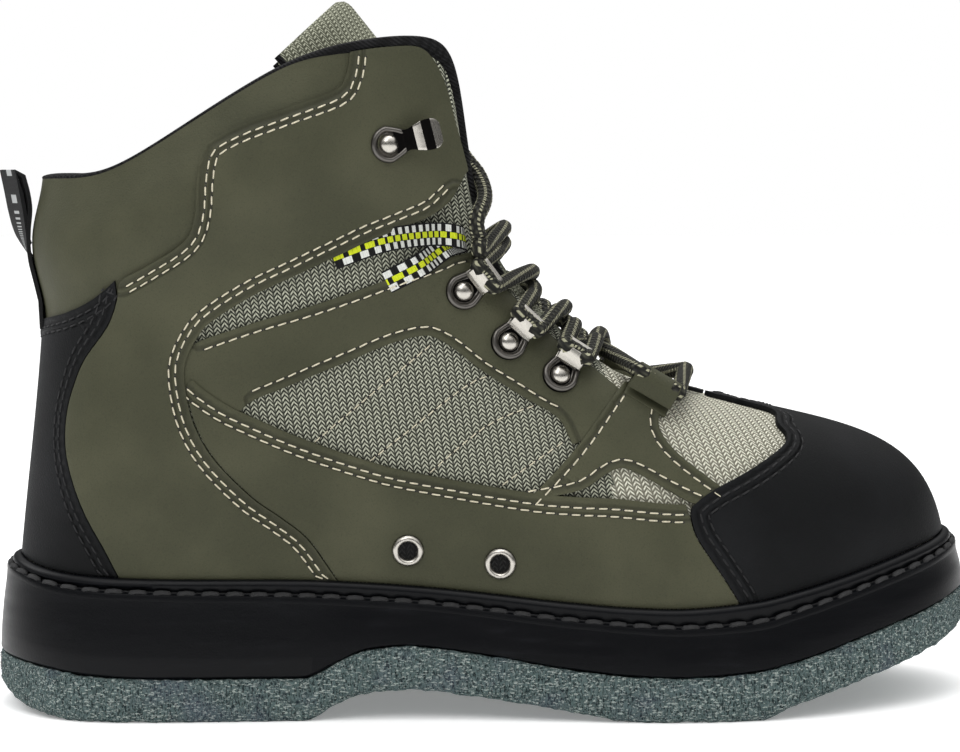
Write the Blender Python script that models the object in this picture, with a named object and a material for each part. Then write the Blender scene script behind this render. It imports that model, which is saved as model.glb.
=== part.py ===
"""Wading boot for the right foot, standing empty on its felt sole.

Metres, +Z up, toe towards +X, the outer (lateral) side towards -Y. The origin is on the floor
under the middle of the heel. Lengths in the tables are shares in per cent: x of the sole's
length, y of the ball width, z of the shaft height, and sole levels of the feather height.
"""

import math
from collections import namedtuple

import bmesh
import bpy
import numpy as np

# Driving sizes
SOLE_LENGTH = 0.315
BALL_WIDTH = 0.112
SHAFT_HEIGHT = 0.2105
FEATHER_HEIGHT = 0.048
HEEL_CENTRE = 0.045
SEAT_GAP = 0.0003

# Sole and welt
WELT_LEDGE = 0.0085
WELT_INSET = 0.0030
WELT_BEAD = 0.0042
WELT_STRIP = 0.0026
MIDSOLE_TAPER = 0.0020
EDGE_ROUND = 0.0016
INSOLE_THICKNESS = 0.0040
INSOLE_CLEARANCE = 0.0016

# Upper
UPPER_WALL = 0.0024
COLLAR_WALL = 0.0056
COLLAR_PUFF = 0.0030

# Overlays
PANEL = 0.0013
PANEL_STEP = 0.006
PANEL_TRIM = 0.0005
BINDING = 0.0024

# Tongue
TONGUE_THICKNESS = 0.0045

# Hardware and lace
SHEET_METAL = 0.0009
SEAT_REACH = 0.0060
RIVET_RADIUS = 0.0031
RIVET_DOME = 0.0012
EYELET_OUTER = 0.0050
EYELET_INNER = 0.0036
EYELET_RISE = 0.0010
LACE_DIAMETER = 0.0050
LACE_CLEARANCE = 0.0008
LACE_LEAD = 0.0026
LACE_LIFT = 0.0018
STRAP_LOOP_WIDTH = 0.0150
PULL_WIDTH = 0.0160
PULL_THICKNESS = 0.0013
PULL_REACH = 0.0105
WEBBING_WIDTH = 0.0066
WEBBING_THICKNESS = 0.0010
WEBBING_LIFT = 0.0014
WEBBING_APART = 0.0025

# Shares: of the sole's length in per cent, of the loop round the boot, of the height from the
# feather to the rim, of the tongue's length and of one of the upper's facets
PANEL_GAP = 0.5
VAMP_STRIP_HALF = 0.075
BINDING_END = 0.46
COLLAR_END = 0.46
COLLAR_FADE = 0.14
SEAT_SPAN = 0.02
FOOT_MARGIN = 0.014
VAMP_STRIP_TOP = 0.985
BELOW_RIM = 0.97
PUFF_SPAN = (0.60, 1.04)
PADDING_SPAN = (0.60, 0.85)
TONGUE_ARCH = 0.03
TONGUE_THINNING = 0.55
CUT_SNAP = 0.06
BEND_RISE = 20
RIVET_CROWN = 0.7

# Resolution of the faceted forms
LOOP_COLUMNS = 48
UPPER_ROWS = 10
SOLE_LANES = 3

Station = namedtuple(
    "Station",
    "foot_x foot_outer foot_inner rim_x rim_y rim_z low_dx low_dy low_dz high_dx high_dy high_dz",
)
# One row for each section from the back of the heel to the tip of the toe. foot is the sole's
# outline, rim is the upper's open edge, low and high are the section's lean above the foot and
# below the rim.
STATIONS = [
    Station(0.0, 0.0, 0.0, 5.1, 0.0, 79.8, 1.3, 0.0, 20.0, 1.0, 0.0, -18.5),
    Station(1.9, 18.3, 18.3, 6.7, 15.2, 79.9, 1.1, 2.7, 20.0, 0.9, 0.0, -19.0),
    Station(7.0, 32.1, 31.7, 10.8, 25.9, 80.4, 0.3, 4.5, 20.0, 0.3, 0.9, -20.0),
    Station(15.9, 37.9, 37.1, 17.5, 32.6, 85.5, 0.0, 5.4, 20.0, 0.0, 2.7, -20.0),
    Station(26.0, 38.8, 36.2, 26.7, 34.4, 94.1, 0.0, 5.4, 20.9, 0.0, 2.7, -21.4),
    Station(35.6, 39.3, 33.6, 35.2, 33.0, 99.0, 0.0, 5.4, 21.9, 0.6, 1.8, -22.8),
    Station(42.2, 40.2, 34.0, 42.2, 29.5, 100.0, 0.0, 5.4, 21.4, 0.6, 2.7, -21.9),
    Station(47.6, 42.0, 36.4, 45.1, 25.0, 96.4, 0.0, 5.4, 20.9, 1.3, 4.5, -21.9),
    Station(52.1, 44.2, 40.2, 46.3, 23.2, 86.5, 0.0, 5.4, 20.0, 1.9, 7.1, -20.9),
    Station(56.5, 46.4, 43.3, 47.6, 22.3, 75.1, 0.0, 4.5, 19.0, 2.9, 9.8, -16.2),
    Station(61.3, 48.7, 46.0, 49.8, 21.4, 66.0, 0.0, 4.0, 18.1, 4.1, 12.5, -11.4),
    Station(67.0, 50.9, 49.1, 54.0, 20.1, 59.9, 0.3, 2.7, 17.1, 5.4, 14.3, -7.6),
    Station(73.7, 50.4, 48.7, 58.4, 17.9, 53.7, 0.6, 2.2, 17.1, 7.0, 15.2, -4.3),
    Station(81.3, 46.4, 45.5, 62.2, 13.8, 49.2, 1.0, 2.2, 17.6, 10.2, 13.4, -2.7),
    Station(89.5, 36.6, 39.3, 65.1, 7.1, 48.4, 0.6, 1.8, 17.3, 15.6, 8.0, -4.6),
    Station(95.9, 23.6, 28.6, 65.7, 3.1, 48.5, -0.8, 0.9, 17.2, 18.0, 4.0, -7.4),
    Station(100.0, -3.6, 3.6, 66.0, 0.0, 48.5, -2.6, 0.0, 17.5, 19.0, 0.0, -8.4),
]

Level = namedtuple("Level", "x tread felt_top welt_seat feather")
# Heights of the sole's layers along its length. The tread is flat on the floor under the heel and
# the ball, lifts at the waist and springs up at the toe.
LEVELS = [
    Level(0.0, 15.6, 35.4, 90.6, 105.2),
    Level(2.2, 7.3, 34.6, 87.5, 101.5),
    Level(5.1, 2.5, 32.9, 82.9, 96.3),
    Level(8.3, 0.0, 30.4, 80.4, 93.8),
    Level(15.9, 0.0, 27.9, 78.3, 91.7),
    Level(30.5, 0.0, 27.7, 75.8, 90.4),
    Level(33.7, 10.4, 37.1, 74.6, 89.4),
    Level(36.8, 17.5, 45.8, 73.3, 88.1),
    Level(40.6, 19.4, 48.1, 71.7, 86.3),
    Level(47.6, 15.0, 42.9, 67.1, 82.1),
    Level(56.5, 6.3, 33.8, 60.4, 76.0),
    Level(62.9, 0.0, 29.6, 57.1, 72.9),
    Level(67.0, 0.0, 28.8, 55.8, 72.1),
    Level(74.9, 0.0, 31.7, 58.3, 75.8),
    Level(79.4, 9.6, 37.9, 65.0, 81.7),
    Level(86.0, 21.3, 49.8, 76.3, 92.1),
    Level(93.3, 34.2, 62.5, 88.8, 104.2),
    Level(98.0, 43.8, 70.4, 96.7, 110.5),
    Level(100.0, 47.9, 72.9, 99.2, 112.5),
]

TongueRow = namedtuple("TongueRow", "x z width wrap")
# The tongue's middle line from under the vamp to its free top, its width, and how far its edges
# wrap back as a share of that width.
TONGUE_ROWS = [
    TongueRow(70.0, 44.0, 22.2, 6.0),
    TongueRow(65.0, 46.2, 30.5, 12.0),
    TongueRow(60.6, 51.3, 43.3, 21.0),
    TongueRow(55.9, 58.0, 52.2, 27.0),
    TongueRow(51.4, 65.6, 55.5, 33.0),
    TongueRow(48.2, 73.8, 55.5, 38.0),
    TongueRow(45.3, 83.2, 54.4, 41.0),
    TongueRow(42.5, 92.0, 53.3, 42.0),
    TongueRow(39.4, 99.6, 52.2, 44.0),
    TongueRow(36.8, 106.0, 50.0, 45.0),
]


# Panel edges seen from the side, each point a pair (x, z), from back to front or bottom to top.
COUNTER_FRONT = [
    (11.0, 25.7),
    (9.2, 31.0),
    (8.0, 36.6),
    (7.6, 40.8),
    (7.8, 45.1),
    (8.5, 49.1),
    (9.6, 53.1),
    (11.8, 58.0),
    (12.7, 62.0),
]
COUNTER_TIP = (12.6, 64.9)
COUNTER_TOP = [(10.9, 62.6), (8.9, 60.7), (6.7, 59.3), (4.8, 57.9)]
COUNTER_FOOT = 12.5
COLLAR_SEAM = [
    (15.6, 67.0),
    (19.2, 70.6),
    (20.3, 74.4),
    (20.6, 79.3),
    (21.3, 83.6),
    (23.2, 85.9),
    (28.6, 89.2),
    (33.6, 92.0),
    (34.9, 94.5),
    (35.3, 97.8),
]
SHAFT_FRONT = [(39.0, 98.6), (42.0, 98.6), (43.4, 96.6), (44.6, 92.4), (45.6, 86.7), (46.6, 80.6)]
ANKLE_FOOT = 33.9
ANKLE_FRONT = [(31.1, 26.5), (28.5, 29.8), (25.4, 33.2), (21.9, 38.7), (20.0, 43.9), (19.2, 49.4)]
FLAP_EDGE = [
    (19.3, 53.2),
    (20.6, 57.0),
    (22.0, 59.1),
    (25.6, 62.5),
    (30.0, 65.6),
    (34.3, 68.6),
    (37.0, 70.5),
    (40.1, 72.3),
    (43.4, 74.4),
    (45.4, 77.2),
]
STAY_TOP = [
    (20.6, 56.0),
    (24.5, 58.0),
    (30.4, 60.6),
    (35.2, 62.9),
    (40.1, 65.5),
    (44.2, 67.6),
    (47.0, 68.6),
    (49.3, 66.0),
    (51.0, 62.3),
    (53.6, 58.4),
    (56.0, 54.8),
    (58.8, 51.9),
    (61.0, 48.6),
]
STAY_BOTTOM = [
    (20.6, 51.4),
    (22.4, 49.0),
    (24.8, 47.2),
    (29.5, 49.6),
    (35.1, 53.0),
    (39.2, 55.5),
    (42.6, 56.6),
    (44.1, 55.9),
    (47.9, 51.7),
    (51.8, 47.9),
    (55.4, 44.7),
    (56.2, 42.2),
]
STAY_FRONT = [(57.4, 42.4), (59.3, 45.9)]
MUDGUARD_TOP = [
    (20.0, 50.4),
    (21.1, 48.9),
    (24.1, 46.0),
    (30.1, 41.9),
    (36.2, 38.6),
    (41.3, 36.5),
    (47.7, 34.7),
    (53.4, 33.4),
    (57.5, 32.9),
    (61.7, 32.6),
    (68.0, 31.7),
]
STRAP_BACK = [(53.8, 34.4), (56.3, 38.2), (58.4, 42.0), (60.3, 45.7), (62.3, 49.0)]
STRAP_FRONT = [(70.4, 35.0), (67.4, 38.9), (65.7, 42.2), (65.7, 44.3), (66.6, 46.2), (68.3, 47.3)]
STRAP_FOOT = [(57.7, 33.9), (60.2, 36.2), (61.8, 37.1), (63.5, 36.2), (65.9, 34.2), (67.9, 33.3)]
CAP_FOOT = 73.4
CAP_BACK = [(71.3, 22.0), (69.2, 26.7), (68.5, 30.0)]
CAP_TOP = [
    (68.7, 31.4),
    (69.6, 32.5),
    (71.6, 34.2),
    (75.8, 37.1),
    (78.6, 39.4),
    (79.1, 40.7),
    (78.5, 42.6),
    (76.4, 44.4),
    (74.3, 45.7),
]
CAP_CREST = 72.4

# Hardware seen from the side: the rivet's place and the way to the loop's barrel.
LACE_TUNNELS = [((46.4, 63.0), (2.6, 3.0)), ((50.8, 55.5), (2.2, 3.4)), ((55.9, 50.5), (1.9, 3.8))]
LACE_HOOK = ((39.0, 84.5), (5.2, 1.9))
DRAINS = [(40.9, 24.9), (50.0, 23.0)]
STRAP_LOOP = ((64.6, 46.6), (1.2, 2.6))
WEBBING_UPPER = [(36.9, 69.4), (39.2, 70.6), (42.2, 71.3), (44.6, 71.2)]
WEBBING_FOLD = (46.2, 70.4)
WEBBING_LOWER = [(44.3, 69.4), (42.7, 67.9), (40.4, 66.9)]

Curl = namedtuple("Curl", "along rise half")
# Strips bent round the lace, as shares of its diameter: along from the rivet, above the panel and
# half the width. The strap loop's half width is a share of its own.
TUNNEL_CURL = [
    Curl(-108, 10, 32),
    Curl(-98, 10, 64),
    Curl(-60, 10, 98),
    Curl(0, 10, 108),
    Curl(52, 10, 98),
    Curl(104, 12, 88),
    Curl(152, 32, 84),
    Curl(172, 72, 84),
    Curl(152, 112, 84),
    Curl(108, 132, 84),
    Curl(64, 112, 84),
    Curl(48, 76, 84),
]
HOOK_CURL = [
    Curl(-104, 10, 32),
    Curl(-94, 10, 64),
    Curl(-56, 10, 96),
    Curl(0, 10, 104),
    Curl(56, 10, 92),
    Curl(96, 18, 68),
    Curl(128, 52, 64),
    Curl(168, 92, 80),
    Curl(228, 108, 96),
    Curl(280, 96, 88),
    Curl(312, 72, 56),
]
STRAP_CURL = [
    Curl(-68, 14, 100),
    Curl(0, 18, 100),
    Curl(52, 28, 100),
    Curl(104, 60, 100),
    Curl(128, 104, 100),
    Curl(108, 152, 100),
    Curl(56, 172, 100),
    Curl(8, 148, 100),
    Curl(-16, 108, 100),
    Curl(-36, 64, 100),
]

Pull = namedtuple("Pull", "z away")
# The pull loop's path up the back seam: height, and how far it stands off as a share of its reach.
PULL_ROWS = [
    Pull(59.6, 0.0),
    Pull(63.5, 0.0),
    Pull(67.4, 0.0),
    Pull(71.2, 0.26),
    Pull(75.0, 0.56),
    Pull(78.8, 0.86),
    Pull(81.0, 1.0),
    Pull(82.2, 0.84),
    Pull(81.4, 0.58),
    Pull(79.8, 0.30),
    Pull(77.6, 0.06),
    Pull(75.2, 0.0),
    Pull(72.9, 0.0),
]

# The lace's crossing points on the instep as pairs (x, z), then its holds and its outer end, as
# (x, y, z) from the webbing loop to behind the front edge of the shaft. The inner end mirrors it.
LACE_CREST = [(51.5, 71.1), (54.5, 64.3), (57.9, 58.9), (61.5, 54.7)]
LACE_HOLD = [(47.97, -35.0, 68.98), (47.97, -35.2, 70.69)]
LACE_BAR_CREST = (70.5, 50.0)
LACE_END = [
    (47.87, -35.3, 71.16),
    (47.62, -35.5, 72.78),
    (47.81, -34.5, 74.20),
    (48.32, -31.2, 75.44),
    (48.70, -26.6, 76.58),
    (48.76, -21.6, 78.10),
    (48.32, -17.3, 80.19),
    (47.24, -14.8, 82.38),
    (46.10, -14.1, 84.75),
    (45.08, -14.8, 87.03),
]


def closed_curve(knots, values, period):
    """A smooth closed curve through the values, one row of numbers for each knot."""
    knots = np.asarray(knots, float)
    values = np.asarray(values, float)
    count = len(knots)
    step = np.diff(np.append(knots, knots[0] + period))
    rise = (np.roll(values, -1, 0) - values) / step[:, None]
    matrix = np.zeros((count, count))
    right = np.zeros_like(values)
    for i in range(count):
        before = (i - 1) % count
        after = (i + 1) % count
        matrix[i, before] += step[i]
        matrix[i, i] += 2 * (step[before] + step[i])
        matrix[i, after] += step[before]
        right[i] = 3 * (step[i] * rise[before] + step[before] * rise[i])
    slope = np.linalg.solve(matrix, right)

    def curve(u):
        u = (np.asarray(u, float) - knots[0]) % period + knots[0]
        i = np.clip(np.searchsorted(knots, u, side="right") - 1, 0, count - 1)
        j = (i + 1) % count
        t = ((u - knots[i]) / step[i])[..., None]
        h = step[i][..., None]
        return (
            values[i] * (1 + 2 * t) * (1 - t) ** 2
            + slope[i] * h * t * (1 - t) ** 2
            + values[j] * t * t * (3 - 2 * t)
            + slope[j] * h * t * t * (t - 1)
        )

    return curve


def steady_curve(xs, ys):
    """A curve through the points that never overshoots, so that flat stretches stay flat."""
    xs = np.asarray(xs, float)
    ys = np.asarray(ys, float)
    step = np.diff(xs)
    rise = np.diff(ys) / step
    slope = np.zeros(len(xs))
    for i in range(1, len(xs) - 1):
        if rise[i - 1] * rise[i] > 0:
            near = 2 * step[i] + step[i - 1]
            far = step[i] + 2 * step[i - 1]
            slope[i] = (near + far) / (near / rise[i - 1] + far / rise[i])
    slope[0] = rise[0]
    slope[-1] = rise[-1]

    def curve(x):
        x = np.clip(np.asarray(x, float), xs[0], xs[-1])
        i = np.clip(np.searchsorted(xs, x, side="right") - 1, 0, len(xs) - 2)
        t = (x - xs[i]) / step[i]
        return (
            ys[i] * (1 + 2 * t) * (1 - t) ** 2
            + slope[i] * step[i] * t * (1 - t) ** 2
            + ys[i + 1] * t * t * (3 - 2 * t)
            + slope[i + 1] * step[i] * t * t * (t - 1)
        )

    return curve


def share(percent, size):
    """A share in per cent of a size."""
    return np.asarray(percent, float) / 100 * size


def place(point):
    """A point given in shares of the sole's length, the ball width and the shaft height."""
    return np.array([share(p, size) for p, size in zip(point, (SOLE_LENGTH, BALL_WIDTH, SHAFT_HEIGHT))])


def loop_stations():
    """Knots and rows once round the boot: heel, outer side, toe, inner side."""
    lengths = share([s.foot_x for s in STATIONS], SOLE_LENGTH)
    widths = share([s.foot_outer + s.foot_inner for s in STATIONS], BALL_WIDTH) / 2
    run = np.concatenate([[0], np.cumsum(np.hypot(np.diff(lengths), np.diff(widths)))])
    run = run / run[-1]
    knots = []
    rows = []
    for side in (-1, 1):
        order = range(len(STATIONS)) if side < 0 else range(len(STATIONS) - 2, 0, -1)
        for i in order:
            s = STATIONS[i]
            foot_y = s.foot_outer if side < 0 else s.foot_inner
            knots.append(run[i] if side < 0 else 2 - run[i])
            rows.append(
                [
                    share(s.foot_x, SOLE_LENGTH),
                    side * share(foot_y, BALL_WIDTH),
                    share(s.rim_x, SOLE_LENGTH),
                    side * share(s.rim_y, BALL_WIDTH),
                    share(s.rim_z, SHAFT_HEIGHT),
                    share(s.low_dx, SOLE_LENGTH),
                    side * share(s.low_dy, BALL_WIDTH),
                    share(s.low_dz, SHAFT_HEIGHT),
                    share(s.high_dx, SOLE_LENGTH),
                    side * share(s.high_dy, BALL_WIDTH),
                    share(s.high_dz, SHAFT_HEIGHT),
                ]
            )
    return knots, rows


LOOP = closed_curve(*loop_stations(), 2.0)
LEVEL_CURVES = {
    name: steady_curve(
        [share(row.x, SOLE_LENGTH) for row in LEVELS],
        [share(getattr(row, name), FEATHER_HEIGHT) for row in LEVELS],
    )
    for name in ("tread", "felt_top", "welt_seat", "feather")
}


def outline(u, inset=0.0):
    """The sole's outline at loop position u (0 heel, 1 toe), moved inwards by inset."""
    u = np.asarray(u, float)
    here = LOOP(u)[..., :2]
    ahead = LOOP(u + 1e-4)[..., :2] - LOOP(u - 1e-4)[..., :2]
    ahead /= np.linalg.norm(ahead, axis=-1, keepdims=True)
    inward = np.stack([-ahead[..., 1], ahead[..., 0]], axis=-1)
    return here + inward * np.asarray(inset, float)[..., None]


def level(name, x):
    """Height of one of the sole's layers at x."""
    return LEVEL_CURVES[name](x)


def bell(t, low, high):
    """A smooth hump of height 1 between low and high, and 0 outside."""
    t = np.clip((t - low) / (high - low), 0, 1)
    return np.sin(math.pi * t) ** 2


def upper_base(u, v):
    """Point of the bare upper at loop position u and height share v, from feather to rim."""
    row = LOOP(u)
    foot = outline(u, WELT_LEDGE)
    feather = level("feather", foot[..., 0])
    low = np.concatenate([foot, feather[..., None]], axis=-1)
    rim = row[..., 2:5]
    v = np.asarray(v, float)[..., None]
    a = low + row[..., 5:8]
    b = rim + row[..., 8:11]
    return low * (1 - v) ** 3 + 3 * a * v * (1 - v) ** 2 + 3 * b * v * v * (1 - v) + rim * v**3


def collar_share(u):
    """1 round the back of the collar, falling to 0 at the front of the shaft."""
    away = np.minimum(np.asarray(u, float) % 2, 2 - np.asarray(u, float) % 2)
    return np.clip((COLLAR_END - away) / COLLAR_FADE, 0, 1)


def upper_normal(u, v):
    """Outward direction of the upper at u, v."""
    u = np.asarray(u, float)
    v = np.asarray(v, float)
    low = np.clip(v - 1e-3, 0, 1)
    high = np.clip(v + 1e-3, 0, 1)
    along = upper_base(u + 1e-3, v) - upper_base(u - 1e-3, v)
    across = upper_base(u, high) - upper_base(u, low)
    normal = np.cross(along, across)
    return normal / np.linalg.norm(normal, axis=-1, keepdims=True)


def upper_point(u, v, out=0.0):
    """Point at a distance out from the upper's outer face, with the collar's padding."""
    u, v = np.broadcast_arrays(np.asarray(u, float), np.asarray(v, float))
    puff = COLLAR_PUFF * collar_share(u) * bell(v, *PUFF_SPAN)
    return upper_base(u, v) + upper_normal(u, v) * (puff + out)[..., None]


def wall(u, v):
    """Thickness of the upper at u, v."""
    low, high = PADDING_SPAN
    padded = collar_share(u) * np.clip((np.asarray(v, float) - low) / (high - low), 0, 1)
    return UPPER_WALL + (COLLAR_WALL - UPPER_WALL) * padded


def material(name, colour, roughness, metallic=0.0):
    """A plain surface of one colour."""
    made = bpy.data.materials.get(name)
    if made is None:
        made = bpy.data.materials.new(name)
        made.use_nodes = True
        surface = made.node_tree.nodes["Principled BSDF"]
        surface.inputs["Base Color"].default_value = (*colour, 1)
        surface.inputs["Roughness"].default_value = roughness
        surface.inputs["Metallic"].default_value = metallic
    return made


def finish(name, bm, surface):
    """Makes the object from its mesh, standing in the boot's frame."""
    bmesh.ops.recalc_face_normals(bm, faces=bm.faces)
    mesh = bpy.data.meshes.new(name)
    bm.to_mesh(mesh)
    bm.free()
    mesh.materials.append(surface)
    mesh.shade_smooth()
    mesh.set_sharp_from_angle(angle=math.radians(40))
    made = bpy.data.objects.new(name, mesh)
    bpy.context.scene.collection.objects.link(made)
    made.parent = BOOT
    return made


def loft(name, loops, surface, closed=True, ring=False):
    """A solid through loops of points; ends are capped, or joined to each other in a ring."""
    bm = bmesh.new()
    made = [[bm.verts.new(tuple(p)) for p in loop] for loop in loops]
    pairs = list(zip(made, made[1:] + made[:1] if ring else made[1:]))
    for low, high in pairs:
        count = len(low)
        for i in range(count if closed else count - 1):
            j = (i + 1) % count
            bm.faces.new((low[i], low[j], high[j], high[i]))
    if not ring:
        bm.faces.new(made[0])
        bm.faces.new(made[-1])
    return finish(name, bm, surface)


def slab(name, low, high, surface, sides):
    """A slab across the sole between two height functions, with rows of its side between them.

    sides is a list of (share of the height, inset) from bottom to top.
    """
    half = LOOP_COLUMNS // 2
    u = np.arange(LOOP_COLUMNS) * 2 / LOOP_COLUMNS
    bm = bmesh.new()
    rings = []
    for part, inset in sides:
        xy = outline(u, np.full(len(u), inset))
        z = low(xy[:, 0]) * (1 - part) + high(xy[:, 0]) * part
        rings.append([bm.verts.new((x, y, h)) for (x, y), h in zip(xy, z)])
    for a, b in zip(rings, rings[1:]):
        for i in range(LOOP_COLUMNS):
            j = (i + 1) % LOOP_COLUMNS
            bm.faces.new((a[i], a[j], b[j], b[i]))
    for ring, height in ((rings[0], low), (rings[-1], high)):
        lanes = []
        for i in range(1, half):
            outer = ring[i]
            inner = ring[LOOP_COLUMNS - i]
            lane = [outer]
            for k in range(1, SOLE_LANES):
                p = outer.co.lerp(inner.co, k / SOLE_LANES)
                lane.append(bm.verts.new((p.x, p.y, float(height(p.x)))))
            lanes.append(lane + [inner])
        for a, b in zip(lanes, lanes[1:]):
            for k in range(SOLE_LANES):
                bm.faces.new((a[k], b[k], b[k + 1], a[k + 1]))
        for pole, lane in ((ring[0], lanes[0]), (ring[half], lanes[-1])):
            for k in range(SOLE_LANES):
                bm.faces.new((pole, lane[k], lane[k + 1]))
    return finish(name, bm, surface)


def shell(name, outer, inner, surface, closed):
    """A wall between two grids of points, each [row][column]; closed grids go right round."""
    bm = bmesh.new()
    skins = [[[bm.verts.new(tuple(p)) for p in row] for row in grid] for grid in (outer, inner)]
    rows = len(outer)
    columns = len(outer[0])
    last = columns if closed else columns - 1
    for grid in skins:
        for r in range(rows - 1):
            for c in range(last):
                d = (c + 1) % columns
                bm.faces.new((grid[r][c], grid[r][d], grid[r + 1][c]))
                bm.faces.new((grid[r][d], grid[r + 1][d], grid[r + 1][c]))
    front, back = skins
    for r in (0, rows - 1):
        for c in range(last):
            d = (c + 1) % columns
            bm.faces.new((front[r][c], front[r][d], back[r][d], back[r][c]))
    if not closed:
        for c in (0, columns - 1):
            for r in range(rows - 1):
                bm.faces.new((front[r][c], front[r + 1][c], back[r + 1][c], back[r][c]))
    return finish(name, bm, surface)


def make_outsole():
    """Felt slab: flat under heel and ball, raised at the waist, springing up at the toe."""
    return slab(
        "outsole_felt",
        lambda x: level("tread", x),
        lambda x: level("felt_top", x),
        material("felt", (0.14, 0.19, 0.19), 0.95),
        [(0.0, EDGE_ROUND), (0.12, 0.0), (0.9, 0.0), (1.0, EDGE_ROUND / 2)],
    )


def make_midsole():
    """Rubber block between felt and welt, drawn in a little towards its top."""
    return slab(
        "midsole",
        lambda x: level("felt_top", x) + SEAT_GAP,
        lambda x: level("welt_seat", x),
        material("rubber_black", (0.012, 0.013, 0.015), 0.45),
        [
            (0.0, EDGE_ROUND / 2),
            (0.08, 0.0),
            (0.92, MIDSOLE_TAPER),
            (1.0, MIDSOLE_TAPER + EDGE_ROUND / 2),
        ],
    )


def make_welt():
    """Ring on the midsole's top: a flat strip with a rolled bead against the upper."""
    u = np.arange(LOOP_COLUMNS) * 2 / LOOP_COLUMNS
    inner_edge = WELT_LEDGE - SEAT_GAP
    radius = WELT_BEAD / 2
    foot_xy = outline(u, np.full(len(u), WELT_LEDGE))
    crown = level("feather", foot_xy[:, 0]) - radius

    def ring_at(inset):
        xy = outline(u, np.full(len(u), inset))
        return xy, level("welt_seat", xy[:, 0]) + SEAT_GAP

    loops = []
    bead_foot = inner_edge - WELT_BEAD
    for inset, rise in ((WELT_INSET, 0.0), (WELT_INSET, WELT_STRIP), (bead_foot, WELT_STRIP)):
        xy, seat = ring_at(inset)
        loops.append(np.column_stack([xy, seat + rise]))
    for step in range(5):
        angle = math.pi * (1 - step / 4)
        xy, _ = ring_at(inner_edge - radius + radius * math.cos(angle))
        loops.append(np.column_stack([xy, crown + radius * math.sin(angle)]))
    xy, seat = ring_at(inner_edge)
    loops.append(np.column_stack([xy, seat]))
    return loft("welt", loops, material("rubber_black", (0.012, 0.013, 0.015), 0.45), ring=True)


def make_upper():
    """The hollow upper, from the midsole's top to its open rim."""
    u = np.arange(LOOP_COLUMNS) * 2 / LOOP_COLUMNS
    outer = []
    inner = []
    for v in np.linspace(0, 1, UPPER_ROWS):
        outer.append(upper_point(u, np.full(len(u), v)))
        inner.append(upper_point(u, np.full(len(u), v), -wall(u, np.full(len(u), v))))
    foot_z = level("welt_seat", outer[0][:, 0]) + SEAT_GAP
    for grid in (outer, inner):
        base = grid[0].copy()
        base[:, 2] = foot_z
        grid.insert(0, base)
    return shell("upper", outer, inner, material("leather_olive", (0.105, 0.105, 0.062), 0.6), True)


def tongue_point(s, t, depth=0.0):
    """Point of the tongue: s from under the vamp to the top, t across from -1 to 1."""
    spots = np.linspace(0, 1, len(TONGUE_ROWS))
    xs = [share(r.x, SOLE_LENGTH) for r in TONGUE_ROWS]
    zs = [share(r.z, SHAFT_HEIGHT) for r in TONGUE_ROWS]
    x = np.interp(s, spots, xs)
    z = np.interp(s, spots, zs)
    width = np.interp(s, spots, [share(r.width, BALL_WIDTH) for r in TONGUE_ROWS])
    wrap = np.interp(s, spots, [r.wrap / 100 for r in TONGUE_ROWS])
    ahead = 0.5 / len(TONGUE_ROWS)
    along = np.array([np.interp(s + ahead, spots, k) - np.interp(s - ahead, spots, k) for k in (xs, zs)])
    along /= np.linalg.norm(along, axis=0)
    out = np.array([along[1], -along[0]])
    back = wrap * width * t * t + depth
    return (x - out[0] * back, width / 2 * t, z - out[1] * back)


def make_tongue():
    """Padded tongue under the lacing, its edges wrapped back round the instep."""
    rows = 15
    lanes = 9
    outer = []
    inner = []
    for s in np.linspace(0, 1, rows):
        outer.append([])
        inner.append([])
        for t in np.linspace(-1, 1, lanes):
            drop = TONGUE_ARCH * t * t * s**6
            thick = TONGUE_THICKNESS * (1 - TONGUE_THINNING * t**4)
            outer[-1].append(tongue_point(s - drop, t))
            inner[-1].append(tongue_point(s - drop, t, thick))
    return shell("tongue", outer, inner, material("mesh_sage", (0.30, 0.31, 0.24), 0.85), False)


def make_insole():
    """Insole lying on the midsole's top inside the upper."""
    inset = WELT_LEDGE + UPPER_WALL + INSOLE_CLEARANCE
    return slab(
        "insole",
        lambda x: level("welt_seat", x) + SEAT_GAP,
        lambda x: level("welt_seat", x) + SEAT_GAP + INSOLE_THICKNESS,
        material("insole_grey", (0.05, 0.05, 0.05), 0.9),
        [(0.0, inset), (1.0, inset)],
    )


def smooth_path(points, count):
    """Evenly spaced points on a smooth curve through a route's own points."""
    points = np.array(points, float)
    padded = np.vstack([2 * points[0] - points[1], points, 2 * points[-1] - points[-2]])
    t = np.linspace(0, 1, 12, endpoint=False)[:, None]
    runs = []
    for a, b, c, d in zip(padded, padded[1:], padded[2:], padded[3:]):
        square = a - 2.5 * b + 2 * c - d / 2
        cube = 1.5 * (b - c) + (d - a) / 2
        runs.append(b + t * (c - a) / 2 + t**2 * square + t**3 * cube)
    fine = np.vstack(runs + [points[-1:]])
    run = np.concatenate([[0], np.cumsum(np.linalg.norm(np.diff(fine, axis=0), axis=1))])
    spots = np.linspace(0, run[-1], count)
    return np.column_stack([np.interp(spots, run, column) for column in fine.T])


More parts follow.
